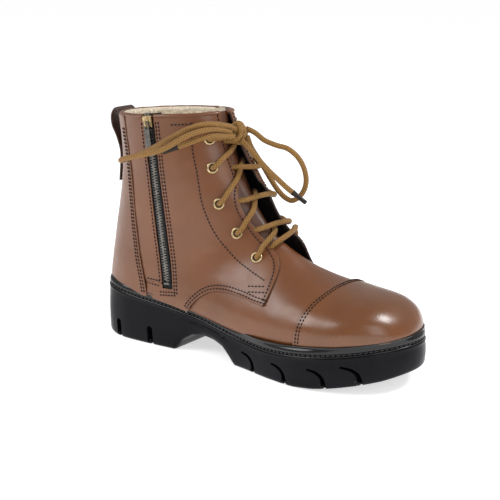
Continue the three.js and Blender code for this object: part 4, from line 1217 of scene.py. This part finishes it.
def add_fleece(name, node_name, rows, angles, curls_at, amount):
    """A sheet of pile over rows (t, height) and angles, always under the leather."""
    rows = np.array(rows)
    t, angle = sheet_grid(rows[:, 0], angles)
    height = np.repeat(rows[:, 1], len(angles)) + pile(last_point(t, angle, curls_at), amount)
    points, _ = surface(t, angle, np.minimum(height, -1.2))
    obj = mesh_object(name, points, row_faces(len(rows), len(angles), around=False), FLEECE)
    piece(obj, "fleece", node_name)


def add_linings():
    top = [(0.10, -1.8), (0.04, -2.0), (0.0, -2.6), (-0.02, -3.6), (0.0, -4.8), (0.05, -5.8)]
    sock = top + [(t, -6.4) for t in np.r_[np.linspace(0.10, 1.5, 34), np.linspace(1.6, 7.6, 30)]]
    add_fleece("fleece_sock", "fleece_lining", sock, np.linspace(0.50, TURN - 0.50, 240), -6.0, 1.5)
    tongue = [(t, -4.6) for t in np.linspace(-0.1, 7.4, 90)]
    add_fleece("tongue_fleece", "tongue_lining", tongue, np.linspace(-0.95, 0.95, 70), -4.0, 1.3)


LOOP_FREE = [(-143.5, 176), (-149, 186), (-149.5, 195), (-145, 200.5), (-141.6, 198.6)]
STRAP_HALF_WIDTH, STRAP_HALF_THICKNESS = 12, 1.2
STRAP_SEAM_HALF_WIDTH, STRAP_THREAD_LIFT = 9.9, 1.15


def add_pull_loop():
    """A strap sewn to the back of the heel panel, then free in a loop up to the collar."""
    sewn = [tuple(last_point((170 - z) / 35 + 1, math.pi, 3.6)[[0, 2]]) for z in (137, 150, 163)]
    route = curve(sewn + LOOP_FREE, 1.2)
    way = unit(np.gradient(route, axis=0))
    across = np.stack([-way[:, 1], way[:, 0]], 1)
    turn = np.linspace(0, TURN, 40, endpoint=False)
    wide = STRAP_HALF_WIDTH * np.sign(np.cos(turn)) * np.abs(np.cos(turn)) ** 0.28
    thick = STRAP_HALF_THICKNESS * np.sign(np.sin(turn)) * np.abs(np.sin(turn)) ** 0.7
    rings = []
    for i, (p, n) in enumerate(zip(route, across)):
        pinch = 1 - 0.05 * smooth((i - len(route) * 0.5) / 20)
        rings.append(np.column_stack([p[0] + n[0] * thick, CENTRE_Y + wide * pinch, p[1] + n[1] * thick]))
    faces = capped_faces(len(route), len(turn))
    obj = mesh_object("pull_strap", np.vstack(rings), faces, DARK_BROWN, sharp=60)
    piece(obj, "dark_leather", "pull_loop")
    low = route[:int(len(route) * 0.42)]
    n = across[:len(low)]
    if last_point(1.5, math.pi)[0] < low[5, 0] + n[5, 0] * 5:
        n = -n
    normals = np.column_stack([n[:, 0], np.zeros(len(n)), n[:, 1]])
    runs = []
    ys = CENTRE_Y + np.linspace(-STRAP_SEAM_HALF_WIDTH, STRAP_SEAM_HALF_WIDTH, 12)
    for y in ys[[0, -1]]:
        at = np.column_stack([low[:, 0], np.full(len(low), y), low[:, 1]]) + normals * STRAP_THREAD_LIFT
        runs.append((at[2:], normals[2:]))
    for k in (2, len(low) - 3):
        at = np.array([(low[k, 0], y, low[k, 1]) for y in ys]) + normals[k] * STRAP_THREAD_LIFT
        runs.append((at, np.repeat(normals[k][None], len(ys), 0)))
    stitched("pull_strap_stitches", runs, THREAD, "dark_leather", 2.8, 2.2, 0.4)


# ------------------------------------------------------------------ eyelets and crossing laces
EYELETS = [(-35, 184), (-30, 161), (-22, 132), (-6, 108.5), (14, 90.5)]


def lathe(profile, segments):
    """A ring turned from a closed profile of (radius, height) points."""
    turn = np.linspace(0, TURN, segments, endpoint=False)
    verts = [(r * math.cos(a), r * math.sin(a), h) for r, h in profile for a in turn]
    return np.array(verts), row_faces(len(profile), segments, closed=True)


def frame_from(normal):
    """Two directions in the leather's plane, and its normal."""
    side = unit(np.cross(normal, (0.0, 0.0, 1.0)))
    return np.stack([side, np.cross(normal, side), normal])


RING = [
    (2.9, -1.4), (2.9, 0.4), (3.05, 0.85), (3.4, 1.2), (3.9, 1.3), (4.4, 1.15), (4.75, 0.8), (4.95, 0.4),
    (4.9, 0.1), (3.6, -0.2), (3.3, -1.4),
]
# Dark discs in the eyelets' openings: painted shade where the holes would be.
HOLE_SHADE_DISC = [(0.01, 0.18), (3.2, 0.18), (3.2, -0.6), (0.01, -0.6)]


def add_eyelets():
    for lateral, name in ((False, "medial"), (True, "lateral")):
        rows = on_last(EYELETS, lateral)
        relief = lateral_relief if lateral else quarter_relief
        points, normals = along_surface(rows, QUARTER_FACE + 0.1, relief, lateral)
        shade_discs = []
        for i, (p, n) in enumerate(zip(points, normals)):
            verts, faces = lathe(RING, 28)
            obj = mesh_object(f"eyelet_ring_{name}_{5 - i}", p + verts @ frame_from(n), faces, BRASS)
            piece(obj, "brass", f"eyelet_{name}_{5 - i}")
            # Painted shade: a dark disc of lining colour fills the eyelet's opening.
            verts, faces = lathe(HOLE_SHADE_DISC, 20)
            shade_discs.append((p + verts @ frame_from(n), faces))
        piece(mesh_object(f"eyelet_hole_shades_{name}", *joined(shade_discs), LINING_BROWN), "dark_leather")


def lace_over(steps):
    """A path from (row, angle, height) steps; heights are over the last, without the facing's flare."""
    steps = np.array(steps, float)
    sizes, weights = (ROW_SIZE, ANGLE_SIZE, 1), (1, 1, 0.05)
    run = np.r_[0, np.cumsum(np.linalg.norm(np.diff(steps * sizes, axis=0), axis=1))]
    even = curve(np.column_stack([run, steps * weights]), 1.0)[:, 1:] / weights
    points, _ = surface(even[:, 0], even[:, 1], even[:, 2])
    return resampled(points, 1.2)


# For eyelets 5 to 1: how far below the eyelet a strand leaves the near facing and meets the far one.
WRAP_ROWS = [(0.1, 0.3), (0.05, 0.28), (0.04, 0.26), (0.1, 0.75), (-0.26, -0.4)]
# For eyelets 4 to 1: the share of the way up to the next eyelet at which a strand passes the middle.
CLIMB_SHARES = [0.6, 0.86, 0.88, 0.62]


def facing_angle(t):
    return float(np.interp(t, FACING[:, 0], FACING[:, 1]))


def add_climbing_strands():
    """At each level one strand climbs from the near eyelet and passes under the far facing."""
    seats = on_last(EYELETS)
    for i, share in enumerate(CLIMB_SHARES, 1):
        t, a = seats[i]
        rise = seats[i - 1][0] - t
        steps = [
            (t, a, -1.5), (t, a - 0.01, 2.2), (t + rise * 0.08 * share, a - 0.07, 4.0),
            (t + rise * 0.38 * share, a * 0.66, 4.4), (t + rise * 0.72 * share, a * 0.3, 3.8),
            (t + rise * share, 0.0, 2.4), (t + rise * (share + 0.12), -0.17, 1.6),
            (t + rise * (share + 0.2), -0.4, 1.6),
        ]
        lace(f"lace_climb_{5 - i}", lace_over(steps), f"lace_cross_{5 - i}_medial")


def add_wrapping_strands():
    """At each level one strand comes from under the near facing and wraps over the far one to its eyelet."""
    seats = on_last(EYELETS)
    for i, (leave, meet) in enumerate(WRAP_ROWS):
        t, a = seats[i]
        near, far = facing_angle(t + leave), facing_angle(t + meet)
        edge = float(flare(t + meet, -far))
        over = [float(flare(t, -angle)) for angle in ((far + a) / 2, a)]
        steps = [
            (t + leave, near + 0.16, -3.2), (t + leave, near + 0.05, -2.0),
            (t + leave + (meet - leave) * 0.25, near - 0.09, 3.2),
            (t + leave + (meet - leave) * 0.6, -far * 0.3, edge * 0.5 + 2.4),
            (t + meet, -far + 0.02, edge + 2.6), (t + meet * 1.05, -far - 0.1, edge + 3.5),
            (t + meet * 0.6, -(far + a) / 2, over[0] + 3.5), (t, -a + 0.08, over[1] + 3.6),
            (t, -a, over[1] + 1.6), (t, -a, over[1] - 1.5),
        ]
        lace(f"lace_wrap_{5 - i}", lace_over(steps))


def add_top_strands():
    """From the top eyelet of each side to the knot."""
    for lateral, spot, bulge, name in (
        (False, (-5, -6.4, -4.5), 2, "lace_top_medial"), (True, (-3.8, 7.9, 0), 4, "lace_top_lateral"),
    ):
        t, a = on_last(EYELETS[:1], lateral)[0]
        seat, normal = surface(t, a, np.array(0.9), lateral)
        start = seat + normal * 3.4
        middle = (start + KNOT + spot) / 2 + normal * bulge
        path = curve([seat - normal * 1.5, seat + normal * 1.2, start, middle, KNOT + spot], 1.2)
        lace(name + "_strand", path, name)


# ------------------------------------------------------------------ zip
ZIP_PLANE = -43.0
SLIDER_MIDDLE = 139.95
PIVOT_DEPTH = 3.6


def zip_points(points):
    """Points (u up the zip, v across it, w out of the boot) in the boot's frame."""
    u, v, w = np.asarray(points, float).T
    side = ZIP_FOOT + np.outer(u, ZIP_WAY) + np.outer(v, ZIP_ACROSS)
    return np.column_stack([side[:, 0], ZIP_PLANE - w, side[:, 1]])


def block(low, high):
    """A box in the zip's frame from two corners."""
    us, vs, ws = zip(low, high)
    corners = np.array([(u, v, w) for u in us for v in vs for w in ws])
    faces = [(0, 1, 3, 2), (4, 6, 7, 5), (0, 4, 5, 1), (2, 3, 7, 6), (0, 2, 6, 4), (1, 5, 7, 3)]
    return zip_points(corners), faces


def plate(outline, low, high, hole=None):
    """A flat plate in the zip's frame between two depths, with an optional hole."""
    rim = np.asarray(outline, float)
    flat, loops = [Vector(p) for p in rim], [list(range(len(rim)))]
    edges = []
    if hole is not None:
        start = len(flat)
        flat += [Vector(p) for p in hole]
        n = len(hole)
        edges = [(start + i, start + (i + 1) % n) for i in range(n)]
        loops.append([start + i for i in range(n)])
    made = delaunay_2d_cdt(flat, edges, [loops[0]], 1, 1e-6)
    at = np.array([tuple(p) for p in made[0]])
    faces = [list(f) for f in made[2]]
    if hole is not None:
        centres = np.array([at[f].mean(0) for f in faces])
        keep = ~inside(centres, np.asarray(hole, float))
        faces = [f for f, k in zip(faces, keep) if k]
    n = len(at)
    verts = np.vstack([np.column_stack([at, np.full(n, low)]), np.column_stack([at, np.full(n, high)])])
    both = faces + [[i + n for i in f[::-1]] for f in faces]
    for loop in loops:
        for i, a in enumerate(loop):
            b = loop[(i + 1) % len(loop)]
            both.append([a, b, b + n, a + n])
    return zip_points(verts), both


def rounded_box(u_low, u_high, v_half_low, v_half_high, radius, count=6):
    """A tapered outline with round corners, in u and v."""
    corners = [
        (u_low + radius, radius - v_half_low, 1.5), (u_low + radius, v_half_low - radius, 1.0),
        (u_high - radius, v_half_high - radius, 0.5), (u_high - radius, radius - v_half_high, 2.0),
    ]
    return [
        (u + radius * math.cos(angle), v + radius * math.sin(angle))
        for u, v, start in corners for angle in np.linspace(start, start - 0.5, count) * math.pi
    ]


def fix_faces(obj):
    """Turns the faces of a closed mesh outwards."""
    work = bmesh.new()
    work.from_mesh(obj.data)
    bmesh.ops.recalc_face_normals(work, faces=work.faces)
    work.to_mesh(obj.data)
    work.free()
    return obj


def side_block(hand, u, v, w):
    """A box beside the middle of the zip, from ranges of u, v and w; hand is 1 in front and -1 behind."""
    v_low, v_high = sorted((v[0] * hand, v[1] * hand))
    return block((u[0], v_low, w[0]), (u[1], v_high, w[1]))


def hardware(name, parts, material, slot, edge, segments, *nodes, body="boot"):
    """A closed metal piece of the zip with its edges rounded."""
    obj = fix_faces(mesh_object(name, *joined(parts), material))
    piece(bevelled(obj, edge, segments, 40), slot, *nodes, body=body)


TOOTH_PITCH, TOOTH_LENGTH = 2.3, 1.25
CHAIN_FOOT, CHAIN_TOP = 3.0, 133
TAPE_WIDTH, TAPE_DEPTH, TAPE_THICKNESS = 13, -1.25, 0.8
STOP_SPAN = (145.3, 147.2)


def add_zip_side(name, hand):
    """A half of the zip: its tape, its teeth, the cord under them and the top stop."""
    lengthwise, across = 90, 10
    grid = sheet_grid(np.linspace(-8, 146.5, lengthwise), np.linspace(0.1, TAPE_WIDTH, across) * hand)
    rows = on_last([zip_side(u, v) for u, v in zip(*grid)])
    points, _ = surface(rows[:, 0], rows[:, 1], np.full(len(rows), TAPE_DEPTH))
    obj = mesh_object(f"zip_tape_cloth_{name}", points, row_faces(lengthwise, across, around=False), TAPE)
    thickened(obj, TAPE_THICKNESS, 0)
    piece(obj, "zip_tape", f"zip_tape_{name}")
    teeth = []
    start = CHAIN_FOOT if hand > 0 else CHAIN_FOOT + TOOTH_PITCH / 2
    for low in np.arange(start, CHAIN_TOP, TOOTH_PITCH):
        teeth.append(side_block(hand, (low, low + TOOTH_LENGTH), (-0.9, 2.5), (-0.35, 1.15)))
        teeth.append(side_block(hand, (low - 0.1, low + TOOTH_LENGTH + 0.1), (0.4, 2.9), (-0.5, 0.85)))
    hardware(f"zip_chain_{name}", teeth, GUNMETAL, "gunmetal", 0.22, 2, f"zip_teeth_{name}")
    cord = zip_points([(u, 3.5 * hand, -0.2) for u in np.linspace(0, 146, 120)])
    piece(mesh_object(f"zip_cord_{name}", *tube_mesh(cord, 0.75, 8), TAPE), "zip_tape")
    stop = side_block(hand, STOP_SPAN, (0.4, 2.9), (-0.5, 1.6))
    hardware(f"zip_stop_{name}", [stop], GUNMETAL, "gunmetal", 0.3, 2, f"zip_top_stop_{name}")


def add_slider():
    mid = SLIDER_MIDDLE
    parts = [plate(rounded_box(mid - 5, mid + 5, 3.4, 4.6, 1.4), 1.35, 2.6)]
    parts += [side_block(hand, (mid - 4.6, mid + 4.8), (3.3, 4.5), (-0.5, 2.0)) for hand in (-1, 1)]
    hardware("zip_slider_body", parts, BRASS, "brass", 0.35, 3, "zip_slider", body="slider")
    arch = curve([
        (mid - 3.9, 0, 2.2), (mid - 3.7, 0, 4.0), (mid - 2.4, 0, 5.0), (mid, 0, 5.25), (mid + 2.4, 0, 5.0),
        (mid + 3.7, 0, 4.0), (mid + 3.9, 0, 2.2),
    ], 0.4)
    obj = mesh_object("zip_slider_bridge", *tube_mesh(zip_points(arch), 0.62, 12), BRASS)
    piece(obj, "brass", body="slider")


def add_pull_tab():
    """A tapered plate with a hole for the bridge, and grip ridges near its free end."""
    low, high = SLIDER_MIDDLE - 23, SLIDER_MIDDLE + 0.5
    hole = rounded_box(SLIDER_MIDDLE - 5.8, SLIDER_MIDDLE - 0.5, 1.5, 1.5, 0.6)
    tab = plate(rounded_box(low, high, 3.1, 2.4, 1.0), PIVOT_DEPTH - 0.5, PIVOT_DEPTH + 0.5, hole)
    finish = GUNMETAL, "gunmetal"
    hardware("zip_pull_tab_plate", [tab], *finish, 0.25, 3, "zip_pull_tab", body="pull_tab")
    ridges = [
        block((u, -1.9, PIVOT_DEPTH + 0.4), (u + 0.8, 1.9, PIVOT_DEPTH + 0.75))
        for u in low + 3 + 1.5 * np.arange(5)
    ]
    hardware("zip_pull_tab_ridges", ridges, *finish, 0.15, 2, body="pull_tab")


def add_zip():
    add_zip_side("front", 1)
    add_zip_side("rear", -1)
    low_stop = block((0, -3, -0.5), (2, 3, 1.9))
    hardware("zip_stop_low", [low_stop], GUNMETAL, "gunmetal", 0.4, 3, "zip_bottom_stop")
    add_slider()
    add_pull_tab()


add_collar_binding()
add_linings()
add_pull_loop()
add_eyelets()
add_climbing_strands()
add_wrapping_strands()
add_top_strands()
add_zip()


# ------------------------------------------------------------------ hidden layers keep their CAD solids
NODE_FINISHES = {
    "steel_shank": STEEL, "steel_toe_cap": STEEL, "insole_board": BOARD, "heel_stiffener": BOARD,
    "footbed": FLEECE, "ankle_padding_medial_front": FOAM, "ankle_padding_medial_rear": FOAM,
    "ankle_padding_lateral": FOAM,
}
for name, material in NODE_FINISHES.items():
    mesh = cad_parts[name].data
    mesh.materials.clear()
    mesh.materials.append(material)


# ------------------------------------------------------------------ set
def area_light(name, location, target, size, power):
    data = bpy.data.lights.new(name, "AREA")
    data.shape = "RECTANGLE"
    data.size, data.size_y = size
    data.energy = power
    light = new_object(name, data)
    light.location = location
    way = Vector(target) - Vector(location)
    light.rotation_euler = way.to_track_quat("-Z", "Y").to_euler()


FLOOR_REACH = 40


def add_set():
    material = new_material("floor_white", (0.86, 0.86, 0.865), 0.7)
    shader = material.node_tree.nodes["Principled BSDF"]
    shader.inputs["Emission Color"].default_value = (1, 1, 1, 1)
    shader.inputs["Emission Strength"].default_value = 0.62
    mesh = bpy.data.meshes.new("floor")
    corners = [(x * FLOOR_REACH, y * FLOOR_REACH, 0) for x, y in ((-1, -1), (1, -1), (1, 1), (-1, 1))]
    mesh.from_pydata(corners, [], [(0, 1, 2, 3)])
    mesh.materials.append(material)
    new_object("floor", mesh)
    world = bpy.data.worlds.new("studio")
    world.use_nodes = True
    background = world.node_tree.nodes["Background"].inputs
    background["Color"].default_value = (1, 1, 1, 1)
    background["Strength"].default_value = 0.42
    bpy.context.scene.world = world
    bpy.context.scene.view_settings.view_transform = "Standard"
    middle = (0, 0, 0.1)
    area_light("key_left", (-0.9, -1.1, 1.1), middle, (0.9, 0.9), 14)
    area_light("fill_right", (1.5, -0.7, 0.8), middle, (0.8, 1.2), 7)
    area_light("top", (0.85, 0.5, 1.3), middle, (0.42, 0.42), 13)


add_set()
